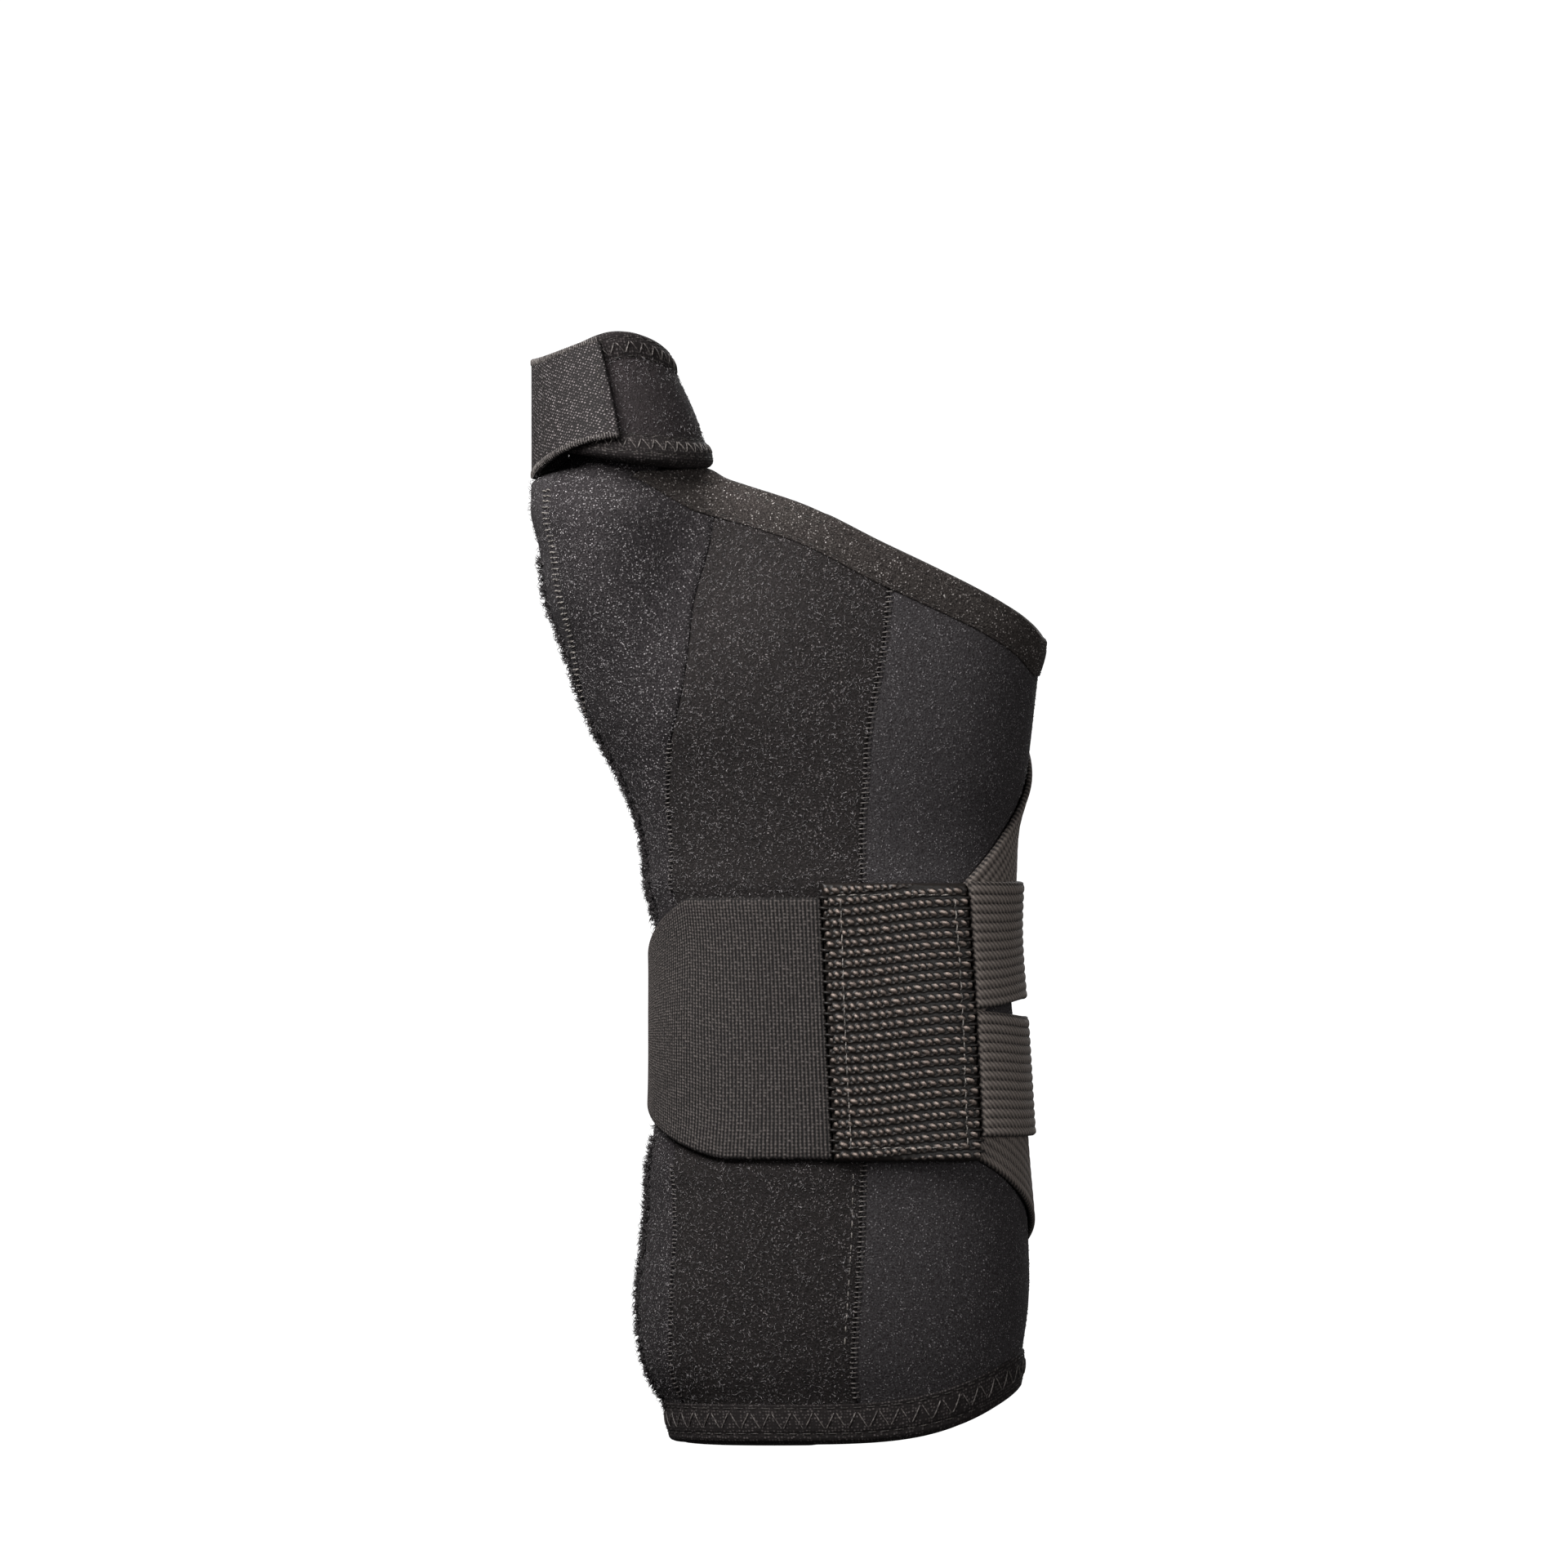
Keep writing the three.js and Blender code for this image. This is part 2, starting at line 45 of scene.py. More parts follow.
# Sizes of the splint in millimetres, as the frame has them
LENGTH = 184.0
HALF_WIDTH = 36.0
HALF_DEPTH = 28.0
WALL = 3.0
HEM_RISE = 10.0
FLATNESS = 0.25
WEB_PINCH = 0.55
WEB_SPREAD = 13.0
WEB_INSET = 1.2
WEB_DRIFT = 6.0
LAYER_GAP = 0.35
THUMB_OUT = 58.4
THUMB_HALF_WIDTH = 15.2
THUMB_HALF_DEPTH = 17.8
THUMB_FULLNESS = 0.75
THUMB_TAPER = 0.27
THUMB_FORWARD = 3.4
THUMB_LEAN = 1.6
STRAP_BASE = LENGTH + 0.6
STRAP_HEIGHT = 20.8
STRAP_SLANT = 3.4
STRAP_PEAK = 5.2
PEAK_ANGLE = 112 * DEGREE
STRAP_WALL = 2.2
STRAP_TUCK = 5.0
BINDING_WIDTH = 7.75
BINDING_WALL = 0.8
BINDING_ROOM = 0.65
THUMB_BINDING_WIDTH = 5.5
TAB_WALL = 1.3
TAB_WIDTH = 49.5
TAB_MIDDLE = 78.6
TAB_CORNER = 11.0
CORNER_RUN = (20.0, 27.0)
THUMB_TAB_DROP = 1.6
THUMB_TAB_CLIMB = 7.2
PATCH_START = -2.2
PATCH_LEAN = 2.3
PATCH_LENGTH = 26.5
PATCH_WIDTH = 52.5
PATCH_WALL = 3.0
PATCH_LIFT = 1.2
ELASTIC_WALL = 1.2
ELASTIC_WIDTH = 22.6
ELASTIC_GAP = 3.2
ELASTIC_LIFT = 3.6
DIAGONAL_WIDTH = 20.5
UPPER_START = 14.0
LOWER_START = 13.0
LOWER_REACH = 22.0
STRETCH_LIMIT = 1.5
TAB_START = -1.5 * DEGREE
LEVEL_END = 297 * DEGREE
UPPER_END = 276 * DEGREE
LOWER_END = 294 * DEGREE
TUCK_END = 50                # degrees from the thumb side, as WEB_ANGLE is
WEB_ANGLE = 60
TAB_LIFT = BINDING_ROOM + BINDING_WALL + LAYER_GAP
STRAP_OUT = THUMB_OUT - TAB_WALL - TAB_LIFT
STRAP_LAYERS = STRAP_WALL + BINDING_WALL + BINDING_ROOM + LAYER_GAP
UNDER_STRAP = TAB_WALL + TAB_LIFT + STRAP_LAYERS
LOBE_DEPTH = THUMB_HALF_DEPTH - STRAP_LAYERS - LAYER_GAP
WEB_PLACE = STRAP_OUT - 2 * THUMB_HALF_WIDTH - WEB_INSET

# Sizes of the textiles in millimetres
RIPPLE = 0.4                 # how far the cloth wanders from its plain form
STRAP_BULGE = 0.7            # how far the thumb strap swells between its bindings
WEB_HEM_RISE = 1.35          # swell of the hand hem beside the strap: height, degrees from
WEB_HEM_ANGLE = 66           # the thumb side, and spread in degrees
WEB_HEM_SPREAD = 11
SQUEEZED_ABOVE = 27.5        # swells beside the wide closure: how far from its middle,
SQUEEZED_BELOW = 27.0        # spread and height
SQUEEZED_SPREAD = 2.6
SQUEEZED_RISE = 0.45
FOLD_START = 1.4             # binding: distance from its fold at which it starts to turn over
FURROWS = (0.30, 0.91)       # sewn rows, as shares of the binding's width
FIBRE_ROOT = -0.1            # fibres start this far under the cloth
FIBRE_RADIUS = 0.055         # thicker than real, or it wouldn't show
EDGE_RADIUS = 0.11
HOOK_RIB = 0.65              # spacing of the ribs on the wide tab
HOOK_RIB_HEIGHT = 0.10
WEB_ROW = 2.0                # webbing: spacing of its rows
WEB_KNOT = 1.62              # and of the knots in a row
KNOT_HEIGHT = 0.95
YARN_HEIGHT = 0.42
ELASTIC_RIB = 1.7            # spacing of the cords in the elastic
CORD_HEIGHT = 0.25
BACK_RADIUS = 31             # mean distance of the elastics from the middle of the arm

# Sections of the body by height: shares of LENGTH, HALF_WIDTH and HALF_DEPTH, with the
# blend out to the thumb and the tuck in under its strap.
SECTIONS = np.array([
    # height left toThumb tuck right front back
    (0.000, 0.860, 0.00, 0.00, 0.900, 0.930, 0.86),
    (0.040, 0.910, 0.00, 0.00, 0.920, 0.960, 0.88),
    (0.065, 0.985, 0.00, 0.00, 0.940, 1.000, 0.92),
    (0.090, 1.030, 0.00, 0.00, 0.965, 1.030, 0.94),
    (0.150, 1.060, 0.00, 0.00, 1.000, 1.050, 0.96),
    (0.220, 1.030, 0.00, 0.00, 0.990, 1.040, 0.95),
    (0.290, 1.000, 0.00, 0.00, 0.960, 1.010, 0.94),
    (0.340, 0.970, 0.00, 0.00, 0.940, 0.980, 0.92),
    (0.435, 0.965, 0.00, 0.00, 0.910, 0.930, 0.89),
    (0.520, 0.970, 0.00, 0.00, 0.880, 0.890, 0.86),
    (0.585, 1.000, 0.03, 0.00, 0.885, 0.875, 0.83),
    (0.635, 1.000, 0.10, 0.00, 0.900, 0.870, 0.81),
    (0.685, 1.000, 0.26, 0.00, 0.975, 0.890, 0.79),
    (0.745, 1.000, 0.51, 0.00, 1.025, 0.920, 0.78),
    (0.820, 1.000, 0.73, 0.00, 1.065, 0.920, 0.75),
    (0.870, 1.000, 0.90, 0.00, 1.070, 0.890, 0.71),
    (0.925, 1.000, 0.97, 0.00, 1.070, 0.850, 0.66),
    (0.955, 1.000, 1.02, 0.00, 1.070, 0.820, 0.62),
    (0.970, 1.000, 1.01, 0.00, 1.070, 0.800, 0.59),
    (0.987, 1.000, 1.00, 0.00, 1.070, 0.780, 0.56),
    (0.995, 1.000, 1.00, 0.13, 1.070, 0.775, 0.55),
    (1.005, 1.000, 1.00, 0.80, 1.070, 0.770, 0.54),
    (1.016, 1.000, 1.00, 1.00, 1.070, 0.770, 0.54),
    (1.080, 1.000, 1.00, 1.00, 1.070, 0.770, 0.54),
])
# Height of the hand hem, a share of LENGTH, by degrees from the thumb side
UPPER_EDGE = [(0, 0.998), (58, 0.998), (67, 0.996), (80, 0.987), (91, 0.972), (99, 0.957),
              (112, 0.927), (126, 0.901), (139, 0.880), (156, 0.854), (170, 0.8345), (176, 0.832),
              (180, 0.8315)]
# Degrees round the body of each seam, by share of LENGTH
SEAMS = {
    "stitched": [(0, -20), (0.5, -15), (0.66, -8), (0.76, 6), (0.82, 15), (0.86, 20), (1.05, 21)],
    "groove": [(0, 24), (0.15, 34), (0.44, 25), (0.64, 35), (0.70, 44), (0.76, 55), (0.83, 63),
               (0.90, 70), (0.96, 74), (1.05, 76)],
    "ladder": [(0, 95), (0.28, 98.5), (0.64, 102), (0.71, 103.5), (0.77, 107), (0.83, 110.5),
               (0.88, 113), (1.05, 116)],
    "ulnar": [(0, 206), (1.05, 206)],
    "dorsal": [(0, 300), (1.05, 300)],
}


def curve(rows, place):
    """Smooth curve through rows of (place, value): cubic pieces whose slope at a row is the
    slope between its two neighbours."""
    x, y = np.array(rows, float).T
    slope = np.empty_like(y)
    slope[1:-1] = (y[2:] - y[:-2]) / (x[2:] - x[:-2])
    slope[0] = (y[1] - y[0]) / (x[1] - x[0])
    slope[-1] = (y[-1] - y[-2]) / (x[-1] - x[-2])
    at = np.clip(place, x[0], x[-1])
    i = np.clip(np.searchsorted(x, at, side="right") - 1, 0, len(x) - 2)
    step = x[i + 1] - x[i]
    t = (at - x[i]) / step
    rise = y[i + 1] - y[i]
    a = slope[i] * step - rise
    b = rise - slope[i + 1] * step
    return y[i] + t * rise + t * (1 - t) * (a * (1 - t) + b * t)


def smooth(low, high, value):
    """Goes from 0 to 1 between low and high with level ends."""
    t = np.clip((value - low) / (high - low), 0, 1)
    return t * t * (3 - 2 * t)


def mix(a, b, share):
    """From a to b by a share."""
    return a + (b - a) * share


def together(*columns):
    """Columns of numbers, brought to one shape, as points."""
    return np.stack(np.broadcast_arrays(*columns), -1).astype(float)


def section(z):
    """Middle, half width, forward shift and half depth of the body at a height."""
    h = z / LENGTH
    left, to_thumb, tuck, right, front, back = [
        curve(SECTIONS[:, [0, k]], h) for k in range(1, 7)]
    left = mix(HALF_WIDTH * left, THUMB_OUT, to_thumb) - UNDER_STRAP * tuck
    right = HALF_WIDTH * right
    lobe = smooth(0.955, 1.003, h)
    forward = mix((front - back) * HALF_DEPTH / 2, THUMB_FORWARD, lobe)
    depth = mix((front + back) * HALF_DEPTH / 2, LOBE_DEPTH, lobe)
    return (right - left) / 2, (right + left) / 2, forward, depth


def skin(angle, z):
    """Outside of the body: x is the middle less the half width times the cosine of the angle,
    y the half depth times its sine, made fuller and pinched in the valley at the web. A slow
    ripple of crossed sines moves it out and in as soft cloth does."""
    middle, half_width, forward, depth = section(z)
    c = np.cos(angle)
    h = z / LENGTH
    ripple = np.sin(3 * angle + z / 23) * np.sin(z / 17 + 1.3)
    ripple = ripple + 0.6 * np.sin(5 * angle - z / 31 + 0.7) * np.sin(z / 10)
    swell = 1 + RIPPLE * ripple * smooth(1.0, 0.9, h) / HALF_WIDTH
    x = middle - half_width * c
    web = -WEB_PLACE - WEB_DRIFT * (1 - smooth(0.75, 1, h))
    pinch = WEB_PINCH * smooth(0.72, 1, h) * np.exp(-(((x - web) / WEB_SPREAD) ** 2))
    thumb_side = THUMB_FULLNESS * smooth(0.68, 0.93, h) * np.maximum(c, 0) ** 2
    full = 1 + FLATNESS * c * c + thumb_side
    y = -forward - depth * np.sin(angle) * full * (1 - pinch) * swell
    x = middle - half_width * c * swell
    return together(x, y, z)


def strap_skin(angle, z):
    """Outside of the thumb strap: an ellipse that narrows and leans to the palm on its way up."""
    share = np.maximum((z - STRAP_BASE) / STRAP_HEIGHT, 0)
    half_width = THUMB_HALF_WIDTH * (1 - THUMB_TAPER * share ** 1.25)
    half_depth = THUMB_HALF_DEPTH * (1 - THUMB_TAPER * share)
    x = -STRAP_OUT + half_width * (1 - np.cos(angle))
    y = -THUMB_FORWARD - THUMB_LEAN * share - half_depth * np.sin(angle)
    return together(x, y, z)


def unit(vectors):
    return vectors / np.linalg.norm(vectors, axis=-1, keepdims=True)


def way_along(points):
    """Way from the first of a row of points to each."""
    return np.r_[0, np.cumsum(np.linalg.norm(np.diff(points, axis=0), axis=1))]


def normal(surface, angle, z):
    """Outward unit normal: the way round crossed with the way up."""
    e = 0.01
    across = surface(angle + e, z) - surface(angle - e, z)
    up = surface(angle, z + e) - surface(angle, z - e)
    return unit(np.cross(across, up))


def offset(surface, angle, z, distance):
    """A point off a surface along its normal."""
    angle, z, distance = np.broadcast_arrays(angle, z, distance)
    return surface(angle, z) + normal(surface, angle, z) * distance[..., None]


def speed(surface, angle, z):
    """Way round a surface for each radian of angle."""
    e = 0.01
    return np.linalg.norm(surface(angle + e, z) - surface(angle - e, z), axis=-1) / (2 * e)


def stretch(surface, angle, edge):
    """How much taller a band is, measured straight up, where its edge slopes."""
    e = 0.02
    rise = (edge(angle + e) - edge(angle - e)) / (2 * e)
    return np.minimum(np.hypot(1, rise / speed(surface, angle, edge(angle))), STRETCH_LIMIT)


def from_thumb_side(angle):
    """Degrees from the thumb side, to the palm side or the back alike."""
    return np.abs(np.arctan2(np.sin(angle), np.cos(angle))) / DEGREE


def hem_top(angle):
    """Height of the hand hem."""
    return LENGTH * curve(UPPER_EDGE, from_thumb_side(angle))


def body_top(angle):
    """Top of the body: the hand hem, or further up where it tucks in under the thumb strap."""
    tucked = 1 - smooth(TUCK_END, WEB_ANGLE, from_thumb_side(angle))
    return hem_top(angle) + (STRAP_TUCK + STRAP_BASE - LENGTH) * tucked


def hem_bottom(angle):
    """Height of the forearm hem: level, with a lift near the little finger side."""
    return HEM_RISE * ((1 - np.cos(angle)) / 2) ** 6


def palm_edge(angle):
    """The hand hem's fold, a little higher where it comes out from under the thumb strap."""
    beside = (from_thumb_side(angle) - WEB_HEM_ANGLE) / WEB_HEM_SPREAD
    return hem_top(angle) + WEB_HEM_RISE * np.exp(-(beside ** 2))


def strap_top(angle):
    """Top of the thumb strap, with a peak on its palm side and a dip under the tab."""
    peak = ((1 + np.cos(angle - PEAK_ANGLE)) / 2) ** 3
    under_tab = ((1 + np.cos(angle)) / 2) ** 2
    return STRAP_BASE + STRAP_HEIGHT + STRAP_PEAK * peak - 0.5 * under_tab


def strap_bottom(angle):
    """Foot of the thumb strap, which rises to the thumb side."""
    return STRAP_BASE + STRAP_SLANT * ((1 + np.cos(angle)) / 2) ** 1.5


def seam_angle(name, z):
    return curve(SEAMS[name], z / LENGTH) * DEGREE


def angle_at(x, z):
    """Angle on the palm side at which the body reaches a place across, at a height."""
    middle, half_width = section(z)[:2]
    return np.arccos(np.clip((middle - x) / half_width, -1, 1))


def patch_start(z):
    """Place across of the webbing's near edge, which leans."""
    return PATCH_START - PATCH_LEAN * (z - TAB_MIDDLE) / PATCH_WIDTH


# Meshes

def hex_colour(code):
    """sRGB hex to linear, with full alpha."""
    s = np.array([int(code[i:i + 2], 16) for i in (1, 3, 5)]) / 255
    linear = np.where(s <= 0.04045, s / 12.92, ((s + 0.055) / 1.055) ** 2.4)
    return (*linear.tolist(), 1.0)


def mesh_piece(name, points, faces, material, nodes=(), uv=None, raised=None):
    """A smooth mesh on the body, of points in millimetres and arrays of equal-sided faces.
    raised tells the material how far each point stands up."""
    points = np.asarray(points, float).reshape(-1, 3) * MM
    mesh = bpy.data.meshes.new(name)
    sides = np.concatenate([np.full(len(f), f.shape[1]) for f in faces])
    corners = np.concatenate([f.ravel() for f in faces]).astype(np.int32)
    mesh.vertices.add(len(points))
    mesh.vertices.foreach_set("co", points.astype(np.float32).ravel())
    mesh.loops.add(len(corners))
    mesh.loops.foreach_set("vertex_index", corners)
    mesh.polygons.add(len(sides))
    mesh.polygons.foreach_set("loop_start", (np.cumsum(sides) - sides).astype(np.int32))
    mesh.polygons.foreach_set("use_smooth", np.ones(len(sides), bool))
    if uv is not None:
        layer = mesh.uv_layers.new(name="UVMap")
        layer.data.foreach_set("uv", np.asarray(uv, np.float32).reshape(-1, 2)[corners].ravel())
    if raised is not None:
        layer = mesh.attributes.new("raised", "FLOAT", "POINT")
        layer.data.foreach_set("value", np.asarray(raised, np.float32).ravel())
    mesh.update(calc_edges=True)
    mesh.validate()
    mesh.materials.append(material)
    piece = bpy.data.objects.new(name, mesh)
    scene.collection.objects.link(piece)
    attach(piece, "root")
    if nodes:
        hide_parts(*nodes)
    return piece


def grid_faces(rows, columns, start=0, wrap_rows=False, wrap_columns=False):
    """Four-sided faces of a grid of points stored row after row."""
    i = np.arange(rows if wrap_rows else rows - 1)[:, None]
    j = np.arange(columns if wrap_columns else columns - 1)[None, :]
    a = i * columns + j
    b = (i + 1) % rows * columns + j
    c = (i + 1) % rows * columns + (j + 1) % columns
    d = i * columns + (j + 1) % columns
    return start + np.stack([a, b, c, d], -1).reshape(-1, 4)


def stations(length, step, edge):
    """Shares along a length: even steps, and closer ones inside each edge to turn it over."""
    near = edge * np.array([0, 0.06, 0.25, 0.55])
    count = max(int(round((length - 2 * edge) / step)), 1)
    middle = np.linspace(edge, length - edge, count + 1)
    return np.concatenate([near, middle, length - near[::-1]]) / length


def shell(name, size, steps, place, wall, edge, material, nodes, lift=0.0, relief=None,
          crease=None):
    """A closed wall with rounded edges: place(u, v, n) gives its point, n out from the surface.
    Its half thickness falls by the crease, or all of it, in a quarter circle of the distance to
    the nearest edge, and relief gives the height of the weave on its outside."""
    u = stations(size[0], steps[0], edge)[:, None]
    v = stations(size[1], steps[1], edge)[None, :]
    from_edge = np.minimum(np.minimum(u, 1 - u) * size[0], np.minimum(v, 1 - v) * size[1])
    share = np.clip(from_edge / edge, 0, 1)
    depth = wall / 2 if crease is None else crease
    half = wall / 2 - depth * (1 - np.sqrt(np.maximum(1 - (1 - share) ** 2, 0.02)))
    raised = np.zeros_like(half)
    if relief is not None:
        raised = relief(u * size[0], v * size[1]) * share
    outer = place(u, v, lift + wall / 2 + half + raised)
    inner = place(u, v, lift + wall / 2 - half)
    rows, columns = half.shape
    count = rows * columns
    ids = np.arange(count).reshape(rows, columns)
    border = np.concatenate([ids[:-1, 0], ids[-1, :-1], ids[:0:-1, -1], ids[0, :0:-1]])
    after = np.roll(border, -1)
    rim = np.stack([border + count, after + count, after, border], -1)
    faces = [grid_faces(rows, columns), grid_faces(rows, columns, count)[:, ::-1], rim]
    flat = together(u * size[0] / 10, v * size[1] / 10)
    points = np.concatenate([outer.reshape(-1, 3), inner.reshape(-1, 3)])
    height = np.concatenate([raised.ravel(), np.zeros(count)])
    if relief is not None:
        height = height / max(raised.max(), 1e-6)
    uv = np.concatenate([flat.reshape(-1, 2)] * 2)
    return mesh_piece(name, points, faces, material, nodes, uv, height)


def threads(name, paths, normals, radius, material):
    """Many threads at once: paths is (threads, points, 3). Each is a tube whose section is an
    ellipse spanned by the surface normal and the sideways direction, drawn in at its ends."""
    sides, flat = 5, 0.8
    along = np.gradient(paths, axis=1)
    along /= np.linalg.norm(along, axis=-1, keepdims=True) + 1e-9
    sideways = np.cross(along, normals)
    sideways /= np.linalg.norm(sideways, axis=-1, keepdims=True) + 1e-9
    upward = np.cross(sideways, along)
    turn = 2 * np.pi * np.arange(sides) / sides
    size = np.full(paths.shape[1], float(radius))
    size[[0, -1]] *= 0.3
    ring = (np.cos(turn)[:, None] * sideways[:, :, None, :]
            + flat * np.sin(turn)[:, None] * upward[:, :, None, :])
    points = paths[:, :, None, :] + ring * size[None, :, None, None]
    count, steps = paths.shape[:2]
    one = grid_faces(steps, sides, 0, False, True)
    faces = (one[None] + np.arange(count)[:, None, None] * steps * sides).reshape(-1, 4)
    ends = np.arange(sides)
    starts = np.arange(count)[:, None] * steps * sides
    caps = np.concatenate([starts + ends[::-1], starts + (steps - 1) * sides + ends])
    mesh_piece(name, points, [faces, caps], material)


def stitches(name, place, starts, ends, radius, material, lift, arch):
    """Short threads over a surface place(a, b, n), each from its start to its end in a and b:
    it rises as half a sine wave and dives into the cloth at both ends."""
    t = np.linspace(0, 1, 6)
    a = mix(starts[:, None, 0], ends[:, None, 0], t)
    b = mix(starts[:, None, 1], ends[:, None, 1], t)
    n = lift + arch * np.sin(np.pi * t) - 0.3 * np.abs(2 * t - 1) ** 6 + 0 * a
    paths = place(a, b, n)
    threads(name, paths, place(a, b, n + 1) - paths, radius, material)


def stitch_line(name, place, u, v, way, radius, material, lift, arch):
    """A line of stitches: one from each place (u, v), all by the same way."""
    starts = together(u, v)
    stitches(name, place, starts, starts + way, radius, material, lift, arch)


def even_angles(surface, edge, start, end, spacing):
    """Angles that lie evenly spaced along an edge."""
    angle = np.linspace(start, end, 900)
    way = way_along(surface(angle, edge(angle)))
    count = max(int(way[-1] / spacing), 2)
    return np.interp(np.linspace(0, way[-1], count + 1), way, angle)


def pile(name, place, size, per_mm2, length, rise, material, keep, radius=FIBRE_RADIUS):
    """Brushed fibres: needles of three sides and two joints on random spots of place(u, v, n).
    Each leaves the cloth at a random tilt up to rise and bends back over. keep says which
    roots are grown."""
    count = int(size[0] * size[1] * per_mm2)
    u = rng.uniform(0.004, 0.996, count)
    v = rng.uniform(0.004, 0.996, count)
    e = 0.001
    root = place(u, v, FIBRE_ROOT)
    chosen = keep(root)
    u, v, root = u[chosen], v[chosen], root[chosen]
    count = len(u)
    right = unit(place(u + e, v, FIBRE_ROOT) - root)
    up = place(u, v + e, FIBRE_ROOT) - root
    out = unit(np.cross(right, up))
    up = np.cross(out, right)
    turn = rng.uniform(0, 2 * np.pi, count)[:, None]
    tilt = rise * rng.uniform(0.25, 1.0, count)[:, None]
    bend = turn + rng.normal(0, 0.9, count)[:, None]
    reach = length * rng.uniform(0.5, 1.2, count)[:, None] / 2
    flat = np.cos(turn) * right + np.sin(turn) * up
    over = np.cos(bend) * right + np.sin(bend) * up
    first = np.cos(tilt) * flat + np.sin(tilt) * out
    second = np.cos(0.35 * tilt) * over + np.sin(0.35 * tilt) * out
    middle = root + first * reach
    tip = middle + second * reach
    side = unit(np.cross(first, out))
    lean = np.cross(first, side)
    third = 2 * np.pi / 3
    corner = [np.cos(k * third) * side + np.sin(k * third) * lean for k in range(3)]
    ring = [root + radius * c for c in corner] + [middle + 0.85 * radius * c for c in corner]
    points = np.stack([*ring, tip], 1)
    base = np.arange(count)[:, None] * 7
    walls = np.concatenate([base + [k, (k + 1) % 3, 3 + (k + 1) % 3, 3 + k] for k in range(3)])
    ends = np.concatenate([base + [3 + k, 3 + (k + 1) % 3, 6] for k in range(3)]
                          + [base + [2, 1, 0]])
    mesh_piece(name, points, [walls, ends], material)


# Materials

def node(tree, kind, inputs=None, stops=(), **settings):
    """Adds a shader node with its settings. An input is a value, an output that feeds it, or a
    node whose first output does, and stops are the places and colours of a ramp."""
    made = tree.nodes.new("ShaderNode" + kind)
    for key, value in settings.items():
        setattr(made, key, value)
    for key, value in (inputs or {}).items():
        source = value.outputs[0] if isinstance(value, bpy.types.Node) else value
        if isinstance(source, bpy.types.NodeSocket):
            tree.links.new(source, made.inputs[key])
        else:
            made.inputs[key].default_value = source
    for i, (place, colour) in enumerate(stops):
        element = made.color_ramp.elements[i] if i < 2 else made.color_ramp.elements.new(place)
        element.position = place
        element.color = hex_colour(colour)
    return made


def empty_material(name):
    material = bpy.data.materials.new(name)
    material.use_nodes = True
    material.node_tree.nodes.clear()
    return material, material.node_tree


def textile(name, build, roughness, specular, bump_mm):
    """A cloth or tape material: build(tree, place, uv, raised) gives its colour and height."""
    material, tree = empty_material(name)
    coordinates = node(tree, "TexCoord").outputs
    # raised is how far the weave stands up; hook tape, elastic and webbing also colour by it, as
    # painted shade in its hollows and painted highlights on its tops
    raised = node(tree, "Attribute", attribute_name="raised").outputs["Fac"]
    colour, height = build(tree, coordinates["Object"], coordinates["UV"], raised)
    bump = node(tree, "Bump", {"Height": height, "Distance": bump_mm * MM})
    shader = node(tree, "BsdfPrincipled", {"Base Color": colour, "Roughness": roughness,
                                           "Normal": bump, "Specular IOR Level": specular})
    node(tree, "OutputMaterial", {"Surface": shader})
    return material


def brushed_loop(dark, middle, glint, spot_mm, share):
    """Brushed nylon loop on foam: near black, with a painted glint of light on many of its fibre
    tufts. A glint is the middle of a random cell, how bright it is goes by the cell, and the tufts
    stand closer in some places than in others."""
    def build(tree, place, uv, raised):
        cells = node(tree, "TexVoronoi", {"Vector": place, "Scale": 1 / (spot_mm * MM)})
        spot = node(tree, "MapRange", {0: cells.outputs["Distance"], 1: 0.05, 2: 0.55, 3: 1.0,
                                       4: 0.0})
        chance = node(tree, "Math", {0: cells.outputs["Color"], 1: 1.6}, operation="POWER")
        tufts = node(tree, "TexNoise", {"Vector": place, "Scale": 1 / (2.6 * MM), "Detail": 3.0,
                                        "Roughness": 0.65})
        crowd = node(tree, "MapRange", {0: tufts.outputs["Fac"], 1: 0.3, 2: 0.7, 3: 0.55, 4: 1.15})
        painted_glint = node(tree, "Math", {0: spot, 1: chance}, operation="MULTIPLY")
        lit = node(tree, "Math", {0: painted_glint, 1: crowd}, operation="MULTIPLY")
        grain = node(tree, "TexNoise", {"Vector": place, "Scale": 1 / (0.3 * MM), "Detail": 1.0})
        fine = node(tree, "MapRange", {0: grain.outputs["Fac"], 1: 0.3, 2: 0.7, 3: 0.0, 4: 0.35})
        both = node(tree, "Math", {0: lit, 1: share, 2: fine}, operation="MULTIPLY_ADD")
        stops = [(0.02, dark), (0.95, glint), (0.38, middle)]
        return node(tree, "ValToRGB", {"Fac": both}, stops), both
    return build


def fold_over_knit(dark, light):
    """Fold-over binding: fine knitted ribs across its width that show as rows of dots."""
    def build(tree, place, uv, raised):
        rib = node(tree, "TexVoronoi", {"Vector": uv, "Scale": 10 / 0.62, "Randomness": 0.45})
        spot = node(tree, "MapRange", {0: rib.outputs["Distance"], 1: 0.1, 2: 0.55, 3: 1.0, 4: 0.0})
        grain = node(tree, "TexNoise", {"Vector": place, "Scale": 1 / (1.2 * MM)})
        both = node(tree, "Math", {0: spot, 1: grain.outputs["Fac"]}, operation="MULTIPLY")
        return node(tree, "ValToRGB", {"Fac": both}, [(0.12, dark), (0.75, light)]), both
    return build


